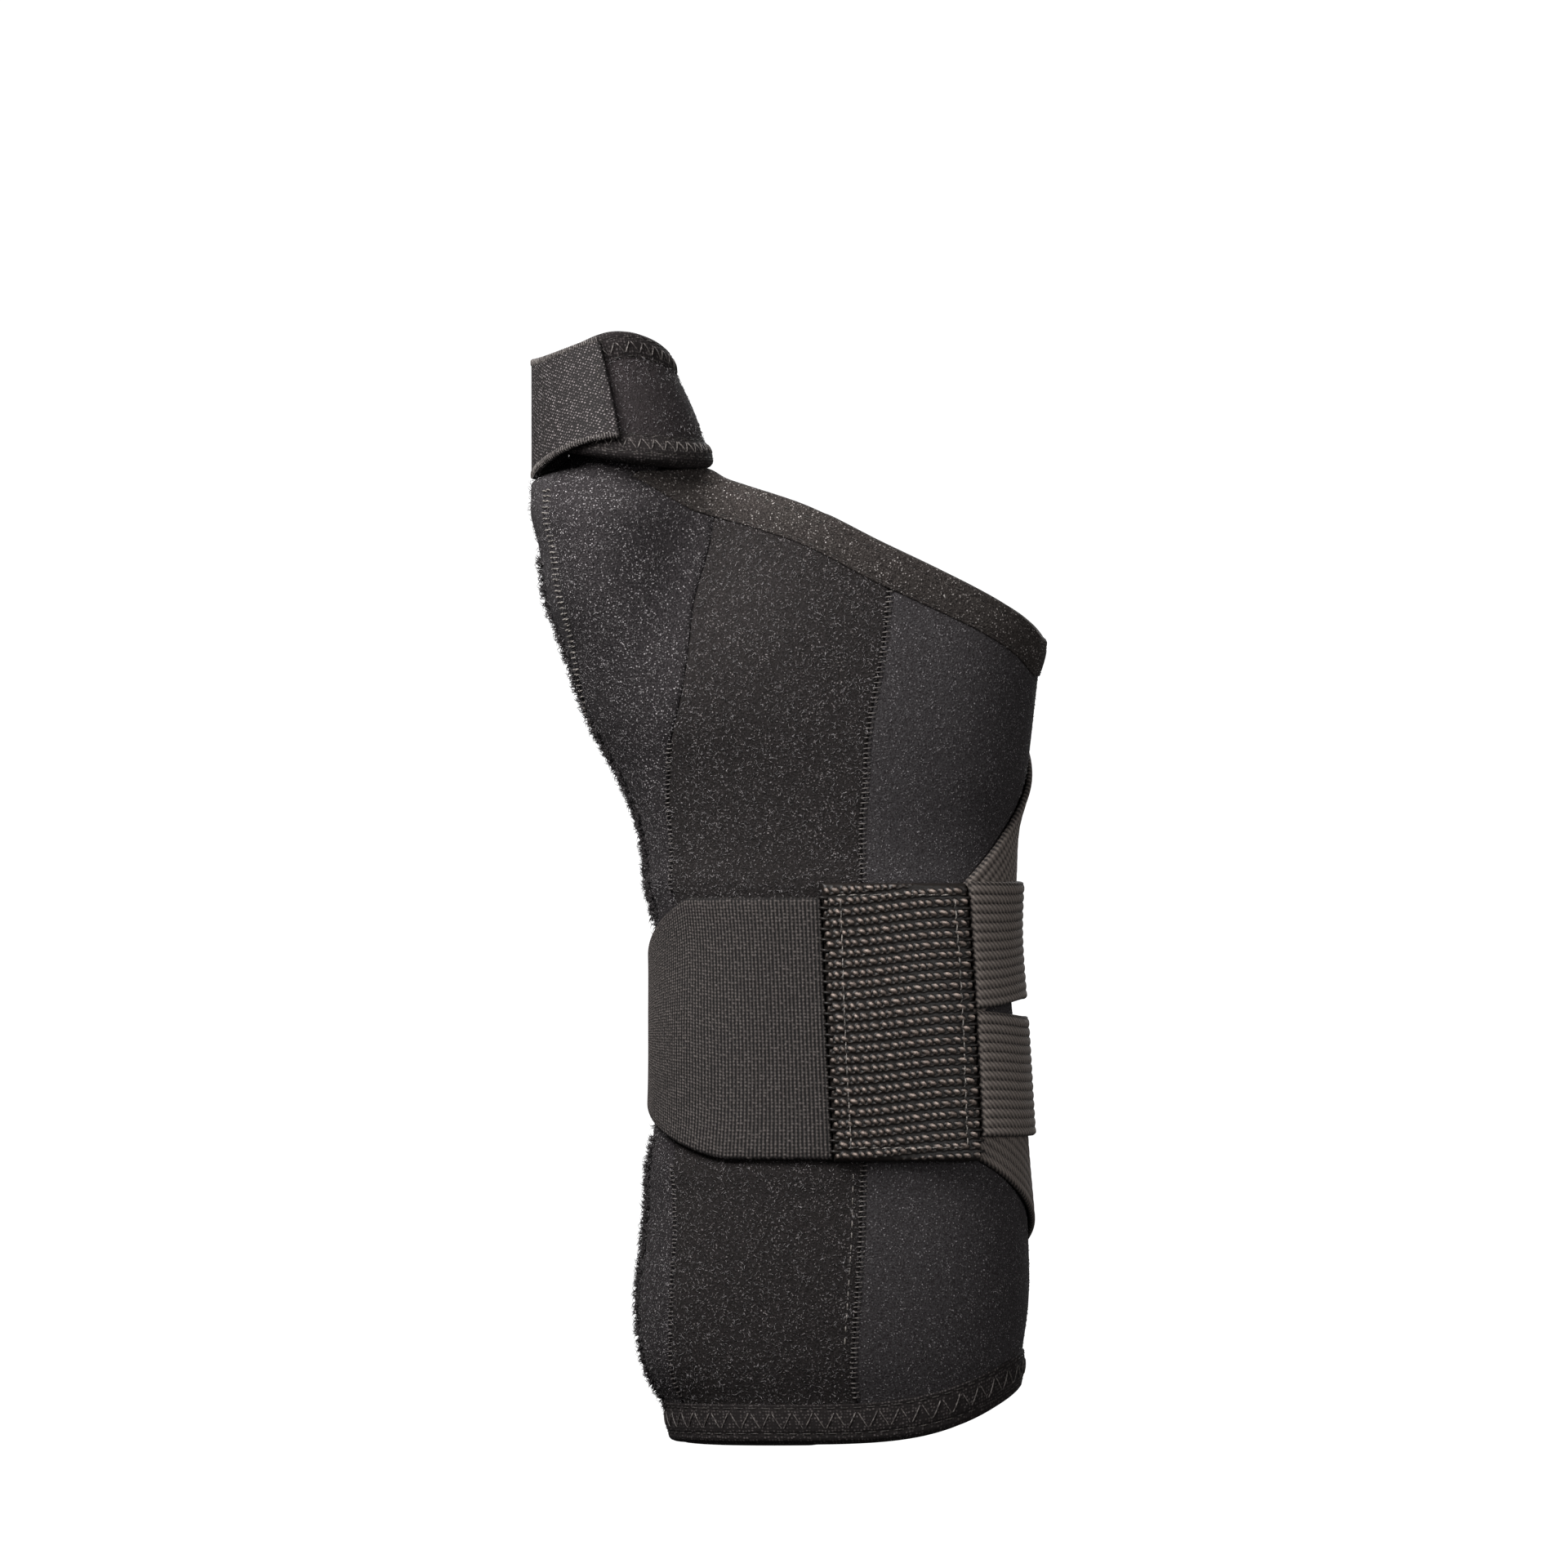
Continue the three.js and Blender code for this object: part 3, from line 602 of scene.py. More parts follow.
def hook_tape(dark, light, turn):
    """Back of hook tape: knitted ribs, each a column of small loops with painted grey highlights,
    and the colour follows the ribs' height, so the furrows between them get painted shade. The turn
    lets the columns run slantwise."""
    def build(tree, place, uv, raised):
        turned = node(tree, "Mapping", {"Vector": uv, "Rotation": (0, 0, turn)})
        loops = node(tree, "TexVoronoi", {"Vector": turned, "Scale": 10 / HOOK_RIB,
                                          "Randomness": 0.35})
        spot = node(tree, "MapRange", {0: loops.outputs["Distance"], 1: 0.1, 2: 0.5, 3: 1.0,
                                       4: 0.0})
        chance = node(tree, "Math", {0: loops.outputs["Color"], 1: 0.8, 2: 0.3},
                      operation="MULTIPLY_ADD")
        dot = node(tree, "Math", {0: spot, 1: chance}, operation="MULTIPLY")
        height = node(tree, "Math", {0: raised, 1: 0.6, 2: dot}, operation="MULTIPLY_ADD")
        return node(tree, "ValToRGB", {"Fac": height}, [(0.2, dark), (1.0, light)]), height
    return build


def corded_elastic(dark, light):
    """Woven elastic: rubber cords under a fine twill; the colour follows the cords' height, with
    painted shade in the furrows between cords and lighter tops.
    """
    def build(tree, place, uv, raised):
        twill = node(tree, "TexWave", {"Vector": uv, "Scale": np.pi / 0.55, "Distortion": 1.5,
                                       "Detail": 1.0, "Detail Scale": 6.0},
                     bands_direction="DIAGONAL")
        dust = node(tree, "TexNoise", {"Vector": place, "Scale": 1 / (0.35 * MM)})
        fine = node(tree, "Math", {0: twill.outputs["Fac"], 1: dust.outputs["Fac"]},
                    operation="MULTIPLY")
        both = node(tree, "Math", {0: raised, 1: 0.5, 2: fine}, operation="MULTIPLY_ADD")
        return node(tree, "ValToRGB", {"Fac": both}, [(0.15, dark), (1.1, light)]), fine
    return build


def basket_webbing(dark, light):
    """Polypropylene webbing: the colour follows the weave, with painted highlights on the glossy
    knots and painted shade in the gaps between them.
    """
    def build(tree, place, uv, raised):
        hair = node(tree, "TexNoise", {"Vector": place, "Scale": 1 / (0.5 * MM), "Detail": 2.0,
                                       "Roughness": 0.7}).outputs["Fac"]
        lit = node(tree, "Math", {0: raised, 1: hair}, operation="MULTIPLY")
        return node(tree, "ValToRGB", {"Fac": lit}, [(0.08, dark), (0.60, light)]), hair
    return build


def spun(dark, light, twist_mm):
    """Thread or fibre: painted highlights and shade that break up along it, as light does on a
    twist.
    """
    def build(tree, place, uv, raised):
        twist = node(tree, "TexNoise", {"Vector": place,
                                        "Scale": 1 / (twist_mm * MM)}).outputs["Fac"]
        return node(tree, "ValToRGB", {"Fac": twist}, [(0.38, dark), (0.66, light)]), twist
    return build


# Brushed loops: the third colour of each is the colour of the painted glints on its tufts
LOOP_COOL, LOOP_WARM, LOOP_FINE, LOOP_STRAP = [
    textile("brushed_nylon_loop_" + name, brushed_loop(*colours, spot_mm, share), 0.95, 0.1, bump)
    for name, colours, spot_mm, share, bump in (
        ("cool", ("#131112", "#2b2829", "#b0abac"), 0.42, 1.0, 0.25),
        ("warm", ("#12100f", "#232020", "#878180"), 0.42, 0.8, 0.25),
        ("fine", ("#1a1718", "#323031", "#969294"), 0.40, 0.75, 0.2),
        ("strap", ("#161313", "#282425", "#7a7475"), 0.40, 0.75, 0.2))]
# Fibres and threads take painted highlights along their twist from spun
FIBRE = textile("nylon_fibre", spun("#121011", "#807c7d", 0.7), 0.5, 0.35, 0.01)
# The same fibre, darker: painted shade on the fibres of the fuzzy outline
SHADED_EDGE_FIBRE = textile("nylon_edge_fibre_painted_shade", spun("#0d0b0c", "#3d393a", 0.7), 0.7, 0.2, 0.01)
KNIT = textile("knitted_binding", fold_over_knit("#151212", "#4e4948"), 0.9, 0.12, 0.18)
# The hand hem's binding is brushed like the panels, so it shows the same painted glints.
KNIT_BRUSHED = textile("brushed_knit_binding",
                       brushed_loop("#151211", "#322e2c", "#b2aca9", 0.42, 0.9), 0.95, 0.1, 0.2)
HOOK = textile("knitted_hook_tape", hook_tape("#151212", "#7b7474", 0.6), 0.8, 0.2, 0.18)
HOOK_WIDE = textile("knitted_wide_tape", hook_tape("#0d0b0b", "#46413f", 0.0), 0.8, 0.15, 0.14)
ELASTIC = textile("woven_elastic", corded_elastic("#161312", "#665e59"), 0.85, 0.2, 0.08)
WEBBING = textile("polypropylene_webbing", basket_webbing("#120e0c", "#8a7c74"), 0.5, 0.25, 0.05)
THREAD = textile("black_polyester_thread", spun("#100e0d", "#3a3633", 0.4), 0.6, 0.25, 0.03)
SEAM_THREAD = textile("charcoal_polyester_thread", spun("#252120", "#5a5552", 0.5), 0.6, 0.25,
                      0.03)
GREY_THREAD = textile("grey_polyester_thread", spun("#2a2725", "#7c7671", 0.4), 0.6, 0.3, 0.03)


# Pieces

def pressed(angle, z):
    """The cloth swells a little just above and below the wide closure, which squeezes it."""
    beside = np.exp(-(((z - TAB_MIDDLE - SQUEEZED_ABOVE) / SQUEEZED_SPREAD) ** 2))
    beside = beside + np.exp(-(((z - TAB_MIDDLE + SQUEEZED_BELOW) / SQUEEZED_SPREAD) ** 2))
    around = smooth(-25, 0, angle / DEGREE) * (1 - smooth(170, 250, angle / DEGREE))
    return SQUEEZED_RISE * beside * around


def body_place(angle, z, n):
    """A point off the body, by angle and height."""
    return offset(skin, angle, z, n + pressed(angle, z))


def panel_place(low_seam, high_seam, turn):
    """Place of a panel point: the angle lies between two seams that lean with height, and the
    height between two hems that lean with angle, so the two are settled in turn."""
    def place(u, v, n):
        u, v, n = np.broadcast_arrays(u, v, n)
        angle = mix(seam_angle(low_seam, 0), seam_angle(high_seam, 0) + turn, u)
        lift = BINDING_ROOM + BINDING_WALL
        for _ in range(8):
            low = hem_bottom(angle) + lift * stretch(skin, angle, hem_bottom)
            high = body_top(angle) - lift * stretch(skin, angle, hem_top)
            z = mix(low, high, v)
            angle = mix(seam_angle(low_seam, z), seam_angle(high_seam, z) + turn, u)
        return body_place(angle, z, n)
    return place


def uncovered(points):
    """False where the wide closure hides the cloth."""
    x, y, z = points.T
    return (np.abs(z - TAB_MIDDLE) > TAB_WIDTH / 2 - 1.5) | (y > 0) | (x < -HALF_WIDTH + 2)


def along_the_edge(points):
    """True on the strip of the thumb side that stands in outline, clear of the closure."""
    x, y, z = points.T
    clear = (np.abs(z - TAB_MIDDLE) > TAB_WIDTH / 2 - 4) | (y > 2)
    return (np.abs(y + 2) < 6) & clear & (z < 168)


# Panels: seams at their sides, turn of the second one, width in millimetres, cloth, and the
# fibres on each square millimetre with their length in millimetres and tilt in degrees
PANELS = {
    "thumb_panel": ("stitched", "groove", 0, 26, LOOP_COOL, 2.1, 0.8, 40),
    "palm_panel": ("groove", "ladder", 0, 40, LOOP_WARM, 1.6, 1.1, 45),
    "ulnar_panel": ("ladder", "ulnar", 0, 60, LOOP_FINE, 0.85, 0.7, 35),
    "dorsal_panel": ("ulnar", "dorsal", 0, 60, LOOP_FINE, 0.4, 0.8, 35),
    "radial_panel": ("dorsal", "stitched", 2 * np.pi, 32, LOOP_FINE, 0.8, 1.5, 60),
}


def build_panels():
    """The five cloth panels with their fibres, and long fibres, darkened as painted shade, where
    the outline is fuzzy.
    """
    for name, (low, high, turn, width, cloth, density, length, rise) in PANELS.items():
        place = panel_place(low, high, turn)
        piece = shell(name + "_cloth", (width, LENGTH), (1.3, 1.6), place, WALL, 1.1, cloth,
                      [name], lift=-WALL, crease=0.8)
        pile(name + "_pile", place, (width, LENGTH), density, length, rise * DEGREE, FIBRE,
             uncovered)
    for name in ("thumb_panel", "radial_panel"):
        low, high, turn, width = PANELS[name][:4]
        pile(name + "_edge_pile", panel_place(low, high, turn), (width, LENGTH), 2.6, 2.0,
             80 * DEGREE, SHADED_EDGE_FIBRE, along_the_edge, EDGE_RADIUS)


def band_height(down, width):
    """How far the outside of a binding stands off the cloth, by the distance from its fold: full
    at the fold, down to the cloth at its sewn edge, with two shallow sewn furrows."""
    edge = 0.45 if width == BINDING_WIDTH else 0.75
    full = 0.95 if width == BINDING_WIDTH else 1.25
    swell = 0.18 * np.sin(np.pi * np.clip(down / width, 0, 1))
    furrows = sum(np.exp(-(((down - share * width) / 0.28) ** 2)) for share in FURROWS)
    return mix(full, edge, smooth(0.35, 1.0, down / width)) + swell - 0.16 * furrows


def taper(angle):
    """Share of its width that the hand binding has: it narrows where it goes under the strap."""
    return mix(0.12, 1, smooth(50, 70, from_thumb_side(angle)))


def band(name, surface, edge, up, angles, width, wall, material, nodes):
    """A binding: a strip folded over an edge. Its outside runs down from the fold by
    band_height, and the fold is half an ellipse."""
    closed = angles[-1] - angles[0] > 1.9 * np.pi
    inside = -wall - BINDING_ROOM
    lead = np.linspace(width, FOLD_START, 22)
    turn = np.linspace(0.1, np.pi - 0.1, 9)
    top = band_height(FOLD_START, width)
    centre = (top + inside - BINDING_WALL) / 2
    half = (top - inside + BINDING_WALL) / 2
    outer_down = np.r_[lead, FOLD_START * (1 - np.sin(turn)) - 0.05,
                       np.linspace(FOLD_START, width, 6)]
    outer_away = np.r_[band_height(lead, width), centre + half * np.cos(turn),
                       np.full(6, inside - BINDING_WALL)]
    inner = FOLD_START + 0.2
    inner_down = np.r_[np.linspace(width, inner, 6),
                       inner - (inner - BINDING_WALL) * np.sin(turn[::-1]),
                       np.linspace(inner, width, 22)]
    inner_away = np.r_[np.full(6, inside), centre - (half - BINDING_WALL) * np.cos(turn),
                       band_height(lead[::-1], width) - 0.6]
    profile = np.stack([np.r_[outer_down, inner_down], np.r_[outer_away, inner_away]], -1)
    profile[[0, -1], 1] += [-0.2, 0.15]
    column = angles[:, None]
    narrow = 1 if closed else taper(column)
    z = edge(column) - up * profile[None, :, 0] * stretch(surface, column, edge) * narrow
    points = offset(surface, column, z, profile[None, :, 1])
    rows, columns = z.shape
    faces = [grid_faces(rows, columns, 0, closed, True)]
    if not closed:
        pair = np.arange(columns // 2 - 1)
        strip = np.stack([pair, pair + 1, columns - 2 - pair, columns - 1 - pair], -1)
        faces += [strip, strip[:, ::-1] + (rows - 1) * columns]
    if up < 0:
        faces = [f[:, ::-1] for f in faces]
    run = way_along(points[:, 0])
    around = way_along(profile)
    uv = together(run[:, None] / 10, around[None, :] / 10)
    piece = mesh_piece(name, points, faces, material, nodes, uv)


def band_place(surface, edge, up, width):
    """Place on the outside of a binding, by angle and by distance from its fold."""
    def place(angle, down, n):
        narrow = taper(angle) if edge is palm_edge else 1
        z = edge(angle) - up * down * stretch(surface, angle, edge) * narrow
        return offset(surface, angle, z, band_height(down, width) + n)
    return place


def zigzag(name, surface, edge, up, width, span, pitch, near, far):
    """Zigzag stitching along a binding, between two distances from its fold."""
    corners = even_angles(surface, edge, *span, pitch / 2)
    down = np.where(np.arange(len(corners)) % 2, far, near)
    points = together(corners, down)
    stitches(name, band_place(surface, edge, up, width), points[:-1], points[1:], 0.13,
             SEAM_THREAD, 0.06, 0.1)


def row_of_stitches(name, surface, edge, up, width, span, pitch, down):
    """A straight row of stitches along a binding."""
    angles = even_angles(surface, edge, *span, pitch)
    starts = together(angles[:-1], down)
    ends = together(mix(angles[:-1], angles[1:], 0.8), down)
    stitches(name, band_place(surface, edge, up, width), starts, ends, 0.11, THREAD,
             0.05, 0.08)


def build_bindings():
    """A band on each of the four hems, with zigzags where they show and two sewn rows."""
    turn = 2 * np.pi
    start = (WEB_ANGLE - 8) * DEGREE
    hand = (start, turn - start)
    thumb = (130, THUMB_BINDING_WIDTH, STRAP_WALL, (0, turn), 2.5, 2.2, 4.6)
    edges = [
        # name, surface, edge, up, steps, width, wall, span, pitch, near, far
        ("forearm_binding", skin, hem_bottom, -1, 260, BINDING_WIDTH, WALL, (0, turn),
         3.9, 3.0, 6.6),
        ("palm_binding", skin, palm_edge, 1, 220, BINDING_WIDTH, WALL, hand, 3.9, 2.9, 6.5),
        ("thumb_top_binding", strap_skin, strap_top, 1, *thumb),
        ("thumb_lower_binding", strap_skin, strap_bottom, -1, *thumb),
    ]
    for name, surface, edge, up, steps, width, wall, span, pitch, near, far in edges:
        angles = np.linspace(*span, steps + 1)
        if span[0] == 0:
            angles = angles[:-1]
        cloth = KNIT_BRUSHED if name == "palm_binding" else KNIT
        band(name + "_knit", surface, edge, up, angles, width, wall, cloth, [name])
        if name != "palm_binding":
            zigzag(name + "_zigzag", surface, edge, up, width, span, pitch, near, far)
        for k, share in enumerate(FURROWS):
            row_of_stitches(f"{name}_row_{k}", surface, edge, up, width, span, 2.4, share * width)


def build_thumb_strap():
    """The thumb strap is a ring: a wall whose upper and lower edges sit inside the bindings."""
    inset = BINDING_WALL + BINDING_ROOM
    angle = np.linspace(0, 2 * np.pi, 131)[:-1, None]
    up = np.linspace(0, 1, 20)
    profile = np.r_[up, up[::-1]][None, :]
    depth = np.r_[0.2 + STRAP_BULGE * np.sin(np.pi * up), np.full(20, -STRAP_WALL)][None, :]
    z = mix(strap_bottom(angle) + inset, strap_top(angle) - inset, profile)
    points = offset(strap_skin, angle, z, depth)
    piece = mesh_piece("thumb_strap_cloth", points, [grid_faces(130, 40, 0, True, True)],
                       LOOP_STRAP, ["thumb_strap"])

    def place(u, v, n):
        a = mix(-60, 300, u) * DEGREE
        return offset(strap_skin, a, mix(strap_bottom(a) + 5, strap_top(a) - 5, v), n + 0.85)

    pile("thumb_strap_pile", place, (95, 14), 1.6, 0.8, 35 * DEGREE, FIBRE,
         lambda p: (p[:, 0] > -46) | (p[:, 1] > 8))


def thumb_tab_place(u, v, n):
    """The thumb tab: its foot climbs with a power of the sine of the angle, its top dips."""
    angle = mix(-50, 88, u) * DEGREE
    low = STRAP_BASE - THUMB_TAB_DROP + THUMB_TAB_CLIMB * np.maximum(np.sin(angle), 0) ** 1.4
    high = strap_top(angle) + 0.3 - 1.1 * np.maximum(np.sin(angle), 0)
    return offset(strap_skin, angle, mix(low - 0.4, high, v), TAB_LIFT + n)


def build_thumb_tab():
    """The tab, ribs round its top and foot, and two columns of stitches."""
    size = (41, 25)
    piece = shell("thumb_tab_hook", size, (0.5, 0.8), thumb_tab_place, TAB_WALL, 0.6, HOOK,
                  ["thumb_tab"])
    u = np.arange(0.01, 0.99, 0.0125)
    for k, low in enumerate((0.0, 0.935)):
        stitch_line(f"thumb_tab_edge_rib_{k}", thumb_tab_place, u, low, (0, 0.065), 0.15,
                    SEAM_THREAD, TAB_WALL + 0.02, 0.04)
    v = np.arange(0.08, 0.9, 0.085)
    for k, u in enumerate((0.60, 0.955)):
        stitch_line(f"thumb_tab_seam_{k}", thumb_tab_place, u, v, (0, 0.06), 0.12, THREAD,
                    TAB_WALL + 0.02, 0.05)


def tab_place(u, v, n):
    """The wide tab: a long slant, a power of the way in, comes off its top and foot."""
    end = angle_at(patch_start(TAB_MIDDLE) - 0.3, TAB_MIDDLE)
    run = (end - TAB_START) * u * HALF_DEPTH
    top = TAB_CORNER * np.maximum(1 - run / CORNER_RUN[0], 0) ** 1.1
    foot = TAB_CORNER * np.maximum(1 - run / CORNER_RUN[1], 0) ** 1.25
    z = TAB_MIDDLE + (v - 0.5) * TAB_WIDTH + mix(foot, -top, v)
    edge = angle_at(patch_start(z) - 0.1, z)
    return offset(skin, mix(TAB_START, edge, u), z, LAYER_GAP + n)


def patch_place(u, v, n):
    """The webbing patch: straight across from its leaning near edge."""
    z = TAB_MIDDLE + PATCH_LIFT + (v - 0.5) * PATCH_WIDTH
    x = mix(patch_start(z), patch_start(z) + PATCH_LENGTH, u)
    return offset(skin, angle_at(x, z), z, LAYER_GAP + n)


def hook_ribs(s, t):
    """Rounded ribs up the tape, one every HOOK_RIB."""
    return HOOK_RIB_HEIGHT * (0.5 + 0.5 * np.cos(2 * np.pi * s / HOOK_RIB)) + 0 * t


def basket_weave(s, t):
    """Rows of raised knots that climb a little to the far side. A knot is the top half of a
    leaning ellipsoid, and a thin yarn runs under each row."""
    row = (t - 0.075 * s + 0.16 * np.sin(s / 4.3) + 0.10 * np.sin(t / 3.1)) / WEB_ROW
    number = np.floor(row)
    across = row - number - 0.5
    column = s / WEB_KNOT + 0.37 * np.sin(2.4 * number) + 0.15 * np.sin(1.1 * s + number)
    lean = column + 0.7 * across
    along = lean - np.floor(lean) - 0.5
    size = 1 + 0.22 * np.sin(5.1 * number + 3.7 * np.floor(lean))
    knot = np.sqrt(np.maximum(1 - (along / 0.36) ** 2 - (across / 0.28) ** 2, 0)) * size
    sag = 0.05 * np.cos(2 * np.pi * column)
    yarn = np.exp(-(((row + 0.30 + sag) % 1 - 0.5) / 0.06) ** 2)
    return np.maximum(KNOT_HEIGHT * knot, YARN_HEIGHT * yarn)


def build_closure():
    """The wide tab and the webbing, its box stitch in pale thread, and the loops of its edges."""
    size = (46, TAB_WIDTH)
    tab = shell("closure_tab_hook", size, (HOOK_RIB / 4, 1.5), tab_place, TAB_WALL, 0.6,
                HOOK_WIDE, ["closure_tab"], relief=hook_ribs)
    size = (28, PATCH_WIDTH)
    patch = shell("webbing_patch_weave", size, (0.22, 0.22), patch_place, PATCH_WALL - 0.9, 0.8,
                  WEBBING, ["webbing_patch"], relief=basket_weave)
    top = PATCH_WALL - 0.3
    v = np.arange(0.05, 0.93, 0.043)
    for k, u in enumerate((0.12, 0.90)):
        stitch_line(f"webbing_box_stitch_{k}", patch_place, u, v, (0.004, 0.034), 0.13,
                    GREY_THREAD, top, 0.15)
    u = np.arange(0.10, 0.88, 0.08)
    for k, v in enumerate((0.045, 0.955)):
        stitch_line(f"webbing_end_stitch_{k}", patch_place, u, v, (0.06, 0.003), 0.13,
                    GREY_THREAD, top, 0.15)
    v = np.arange(0.03, 0.98, WEB_ROW / PATCH_WIDTH)
    for k, (u, way) in enumerate(((0.94, 0.09), (0.05, -0.08))):
        stitch_line(f"webbing_edge_loops_{k}", patch_place, u, v, (way, 0.006), 0.3, WEBBING,
                    PATCH_WALL - 1.4, 0.8)


def elastic_place(middle, width, reach, over, end, flare):
    """An elastic from the patch to its sewn end: level or climbing, it lies over a diagonal as
    far as the point where that has left it. A flare widens its lower edge, or its upper edge
    where negative, at the patch."""
    start = angle_at(patch_start(middle) + PATCH_LENGTH, middle)
    rise = (reach - middle) / (end - start) / HALF_DEPTH
    tall = width * np.hypot(1, rise)

    def place(u, v, n):
        near = 1 - smooth(0.0, 0.22, u)
        z0 = middle + (v - 0.5) * tall
        z0 = z0 - (max(flare, 0) * (1 - v) + min(flare, 0) * v) * near
        edge = angle_at(patch_start(z0) + PATCH_LENGTH + 0.1, z0)
        angle = mix(edge, end, u)
        z = z0 + rise * (angle - start) * HALF_DEPTH
        lift = over * (ELASTIC_WALL + LAYER_GAP) * (1 - smooth(0.5, 0.68, u))
        return offset(skin, angle, z, LAYER_GAP + n + lift)

    return place, (end - start) * BACK_RADIUS * np.hypot(1, rise)


def elastic_cords(s, t):
    """Rounded cords along the elastic, with a narrow furrow between two."""
    return CORD_HEIGHT * np.abs(np.sin(np.pi * t / ELASTIC_RIB)) ** 0.6 + 0 * s


def build_elastics():
    """Two level elastics over two that fan out, each with two rows of stitches at its end."""
    level = TAB_MIDDLE + ELASTIC_LIFT
    step = (ELASTIC_WIDTH + ELASTIC_GAP) / 2
    reach = hem_top(UPPER_END) - STRETCH_LIMIT * BINDING_WIDTH - 0.72 * DIAGONAL_WIDTH
    runs = {
        "elastic_upper": (level + step, ELASTIC_WIDTH, level + step, 1, LEVEL_END, 1.6),
        "elastic_lower": (level - step, ELASTIC_WIDTH, level - step, 1, LEVEL_END, -1.1),
        "diagonal_upper": (TAB_MIDDLE + UPPER_START, DIAGONAL_WIDTH, reach, 0, UPPER_END, 0),
        "diagonal_lower": (TAB_MIDDLE - LOWER_START, DIAGONAL_WIDTH, LOWER_REACH, 0, LOWER_END,
                           0),
    }
    for name, (middle, width, reach, over, end, flare) in runs.items():
        place, length = elastic_place(middle, width, reach, over, end, flare)
        piece = shell(name + "_tape", (length, width), (1.6, ELASTIC_RIB / 6), place,
                      ELASTIC_WALL - 0.25, 0.5, ELASTIC, [name],
                      relief=elastic_cords)
        v = np.arange(0.06, 0.92, 0.11)
        for k, u in enumerate((0.945, 0.98)):
            stitch_line(f"{name}_end_stitch_{k}", place, u, v, (0, 0.08), 0.14, THREAD,
                        ELASTIC_WALL + 0.1, 0.08)


def clear_of_closure(z, seam):
    """Heights at which the wide closure leaves a seam free."""
    return z[(np.abs(z - TAB_MIDDLE) > TAB_WIDTH / 2 + 1) | (seam == "dorsal")]


def beside_seam(seam, z, shift):
    """Angle at a height, at a distance from a seam."""
    angle = seam_angle(seam, z)
    return angle + shift / speed(skin, angle, z)


def seam_bars(name, seam, low, high, pitch, width, shift, radius, thread, lift=-0.2):
    """Stitches across a seam, one every pitch up it: each lies level and spans width."""
    z = np.arange(low, high, pitch)
    z = clear_of_closure(z + rng.uniform(-0.1, 0.1, len(z)), seam)
    starts = together(beside_seam(seam, z, shift - width / 2), z)
    ends = together(beside_seam(seam, z, shift + width / 2), z + 0.12)
    stitches(name, body_place, starts, ends, radius, thread, lift, 0.42)


def seam_dashes(name, seam, low, high, pitch, shift, radius, thread):
    """A row of stitches that runs up beside a seam."""
    z = clear_of_closure(np.arange(low, high, pitch), seam)
    far = z + 0.72 * pitch
    starts = together(beside_seam(seam, z, shift), z)
    ends = together(beside_seam(seam, far, shift), far)
    stitches(name, body_place, starts, ends, radius, thread, 0.0, 0.12)


def build_seams():
    """The chain on the thumb seam, loops and bars on the others, and one row of pale dashes."""
    for side in (-0.7, 0.7):
        label = "left" if side < 0 else "right"
        seam_bars(f"thumb_seam_chain_{label}", "stitched", 9, 181, 1.05, 0.85, side, 0.15,
                  GREY_THREAD, 0.05)
    for name, seam, low, high, pitch, width, radius in (
            ("groove_seam_loops", "groove", 9, 133, 0.85, 1.5, 0.14),
            ("ladder_seam_bars", "ladder", 9, 162, 0.95, 1.9, 0.15),
            ("ulnar_seam_bars", "ulnar", 14, 150, 1.1, 1.7, 0.14),
            ("dorsal_seam_bars", "dorsal", 9, 170, 1.1, 1.7, 0.14)):
        seam_bars(name, seam, low, high, pitch, width, 0, radius, SEAM_THREAD)
    seam_dashes("ladder_seam_dashes", "ladder", 19, 51, 2.2, -1.9, 0.14, GREY_THREAD)


# Studio

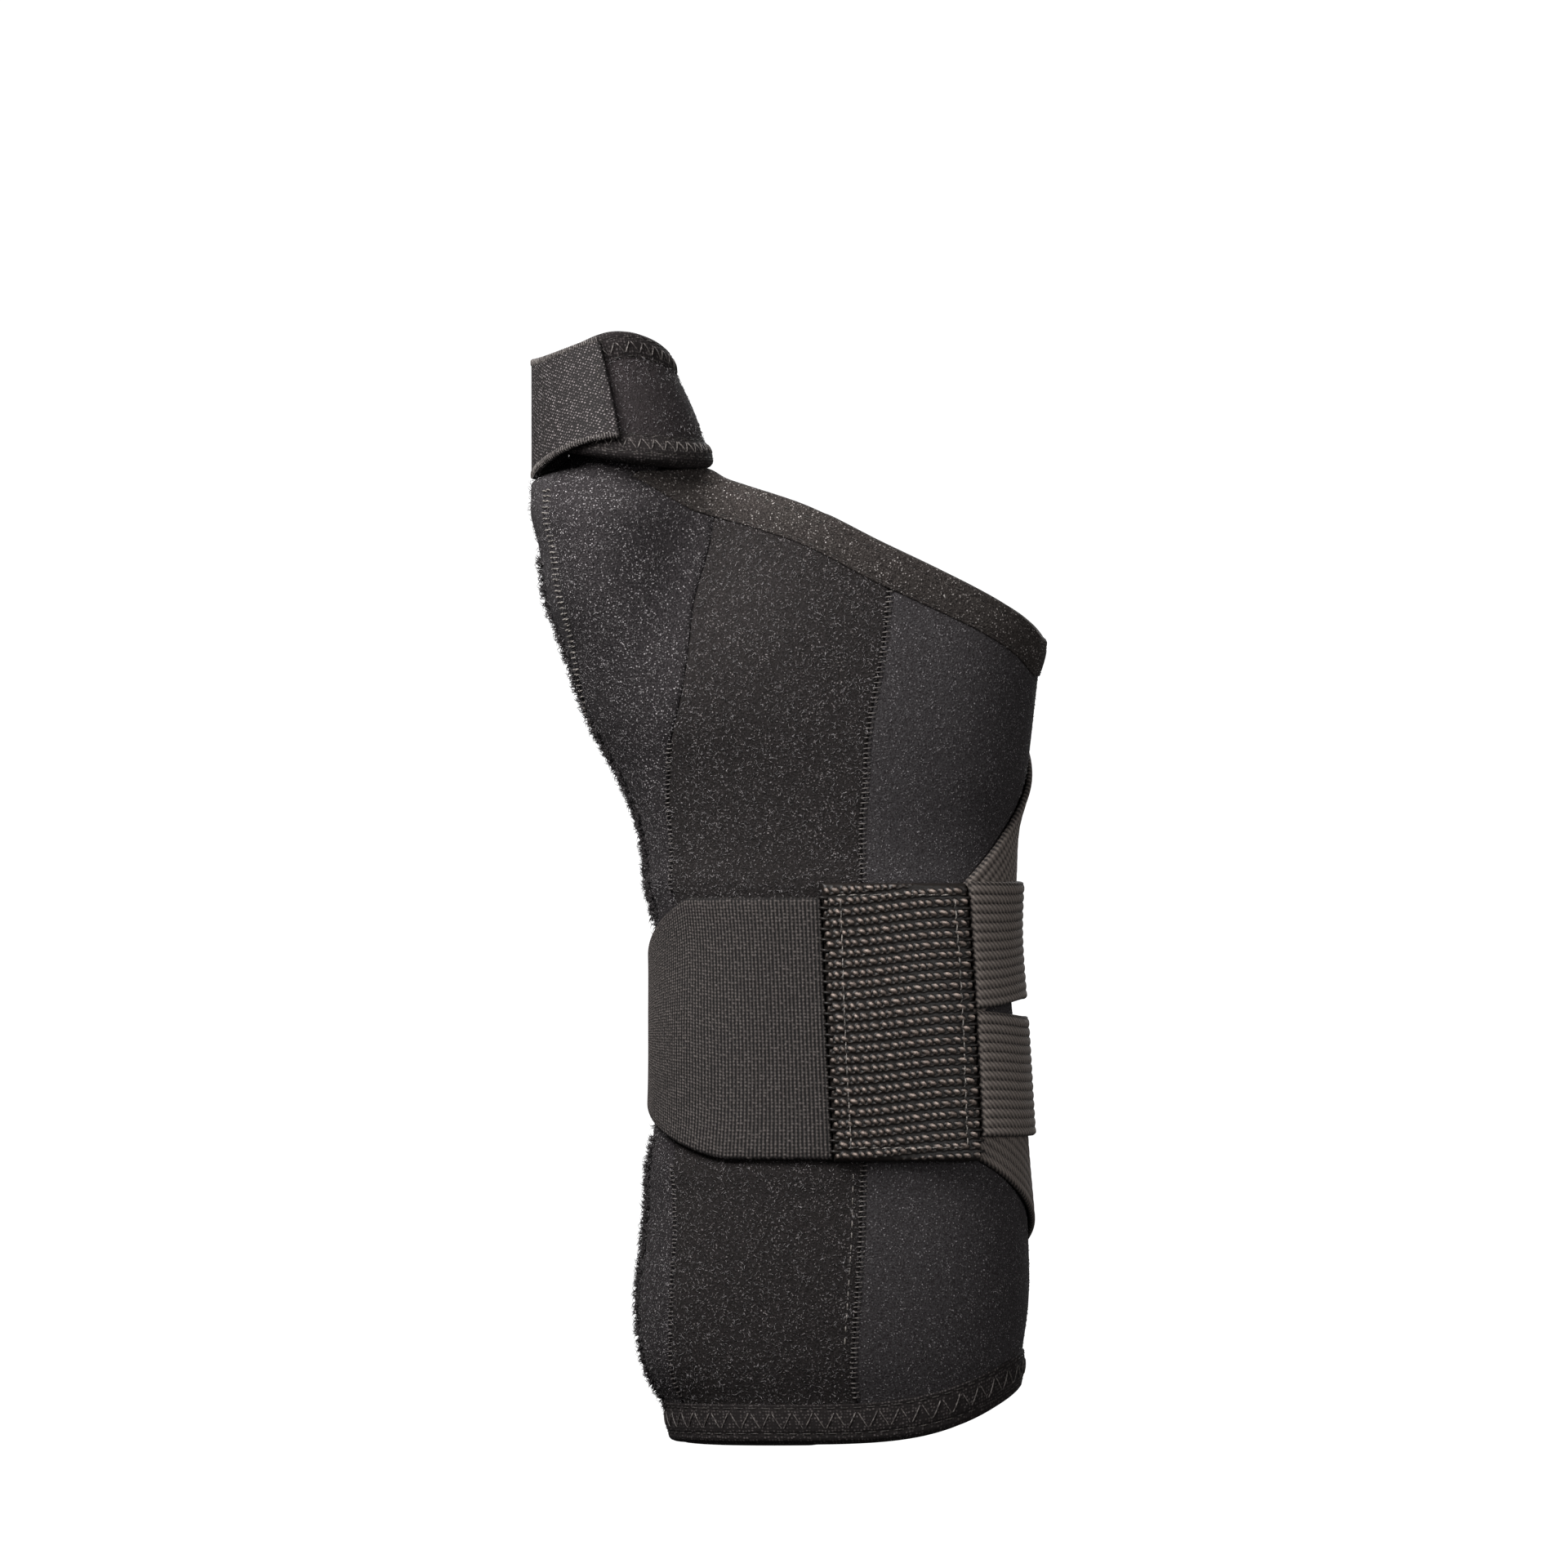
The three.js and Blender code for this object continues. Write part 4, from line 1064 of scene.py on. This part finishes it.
def build_stage():
    """A white floor that curves up by a quarter circle into a wall all round and a roof, wide
    enough for a camera on every side: a profile turned about the upright axis."""
    floor, reach, radius, roof = -60.0, 6000.0, 1500.0, 8000.0
    turn = np.linspace(0, np.pi / 2, 12)
    out = np.r_[1.0, reach + radius * np.sin(turn), reach + radius, 1.0]
    z = np.r_[floor, floor + radius * (1 - np.cos(turn)), roof, roof]
    round_about = np.linspace(0, 2 * np.pi, 65)[:-1, None]
    points = together(out * np.cos(round_about), out * np.sin(round_about), z)
    material, tree = empty_material("white_paper")
    shader = node(tree, "BsdfPrincipled", {
        "Base Color": hex_colour("#fafafa"), "Roughness": 0.9, "Specular IOR Level": 0.1,
        "Emission Color": hex_colour("#ffffff"), "Emission Strength": 1.0})
    node(tree, "OutputMaterial", {"Surface": shader})
    mesh = bpy.data.meshes.new("backdrop")
    faces = grid_faces(64, len(z), 0, True)[:, ::-1]
    mesh.from_pydata((points.reshape(-1, 3) * MM).tolist(), [], faces.tolist())
    mesh.materials.append(material)
    piece = bpy.data.objects.new("backdrop", mesh)
    piece.visible_diffuse = False
    piece.visible_glossy = False
    scene.collection.objects.link(piece)


def build_lights():
    """A soft lamp close by at the upper left, so that the light falls off downwards, a weak one
    at the right, one behind, and white all round."""
    aim = Vector((-0.01, 0.0, 0.13))
    lamps = {
        # name: place in metres, width in metres, watts
        "key_light": ((-0.25, -0.27, 0.445), 0.28, 7.3),
        "fill_light": ((0.70, -0.75, 0.30), 0.60, 5.5),
        "back_light": ((0.10, 0.80, 0.60), 0.60, 10.0),
    }
    for name, (place, width, power) in lamps.items():
        lamp = bpy.data.lights.new(name, "AREA")
        lamp.size = width
        lamp.energy = power
        thing = bpy.data.objects.new(name, lamp)
        thing.location = place
        thing.rotation_euler = (aim - Vector(place)).to_track_quat("-Z", "Y").to_euler()
        scene.collection.objects.link(thing)
    world = bpy.data.worlds.new("studio")
    world.use_nodes = True
    world.node_tree.nodes["Background"].inputs["Color"].default_value = (1, 1, 1, 1)
    world.node_tree.nodes["Background"].inputs["Strength"].default_value = 0.11
    scene.world = world


def build_camera():
    """Level camera four metres in front of the palm side, as a long lens sees it."""
    view_width = 297.6
    distance = 4000.0
    data = bpy.data.cameras.new("camera")
    data.sensor_width = 36
    data.lens = data.sensor_width * distance / view_width
    data.clip_end = 30
    camera = bpy.data.objects.new("camera", data)
    camera.location = (-10.5 * MM, -distance * MM, 124.8 * MM)
    camera.rotation_euler = (np.pi / 2, 0, 0)
    scene.collection.objects.link(camera)
    scene.camera = camera


build_camera()
build_stage()
build_lights()
build_panels()
build_bindings()
build_thumb_strap()
build_thumb_tab()
build_closure()
build_elastics()
build_seams()

scene.view_settings.view_transform = "Standard"
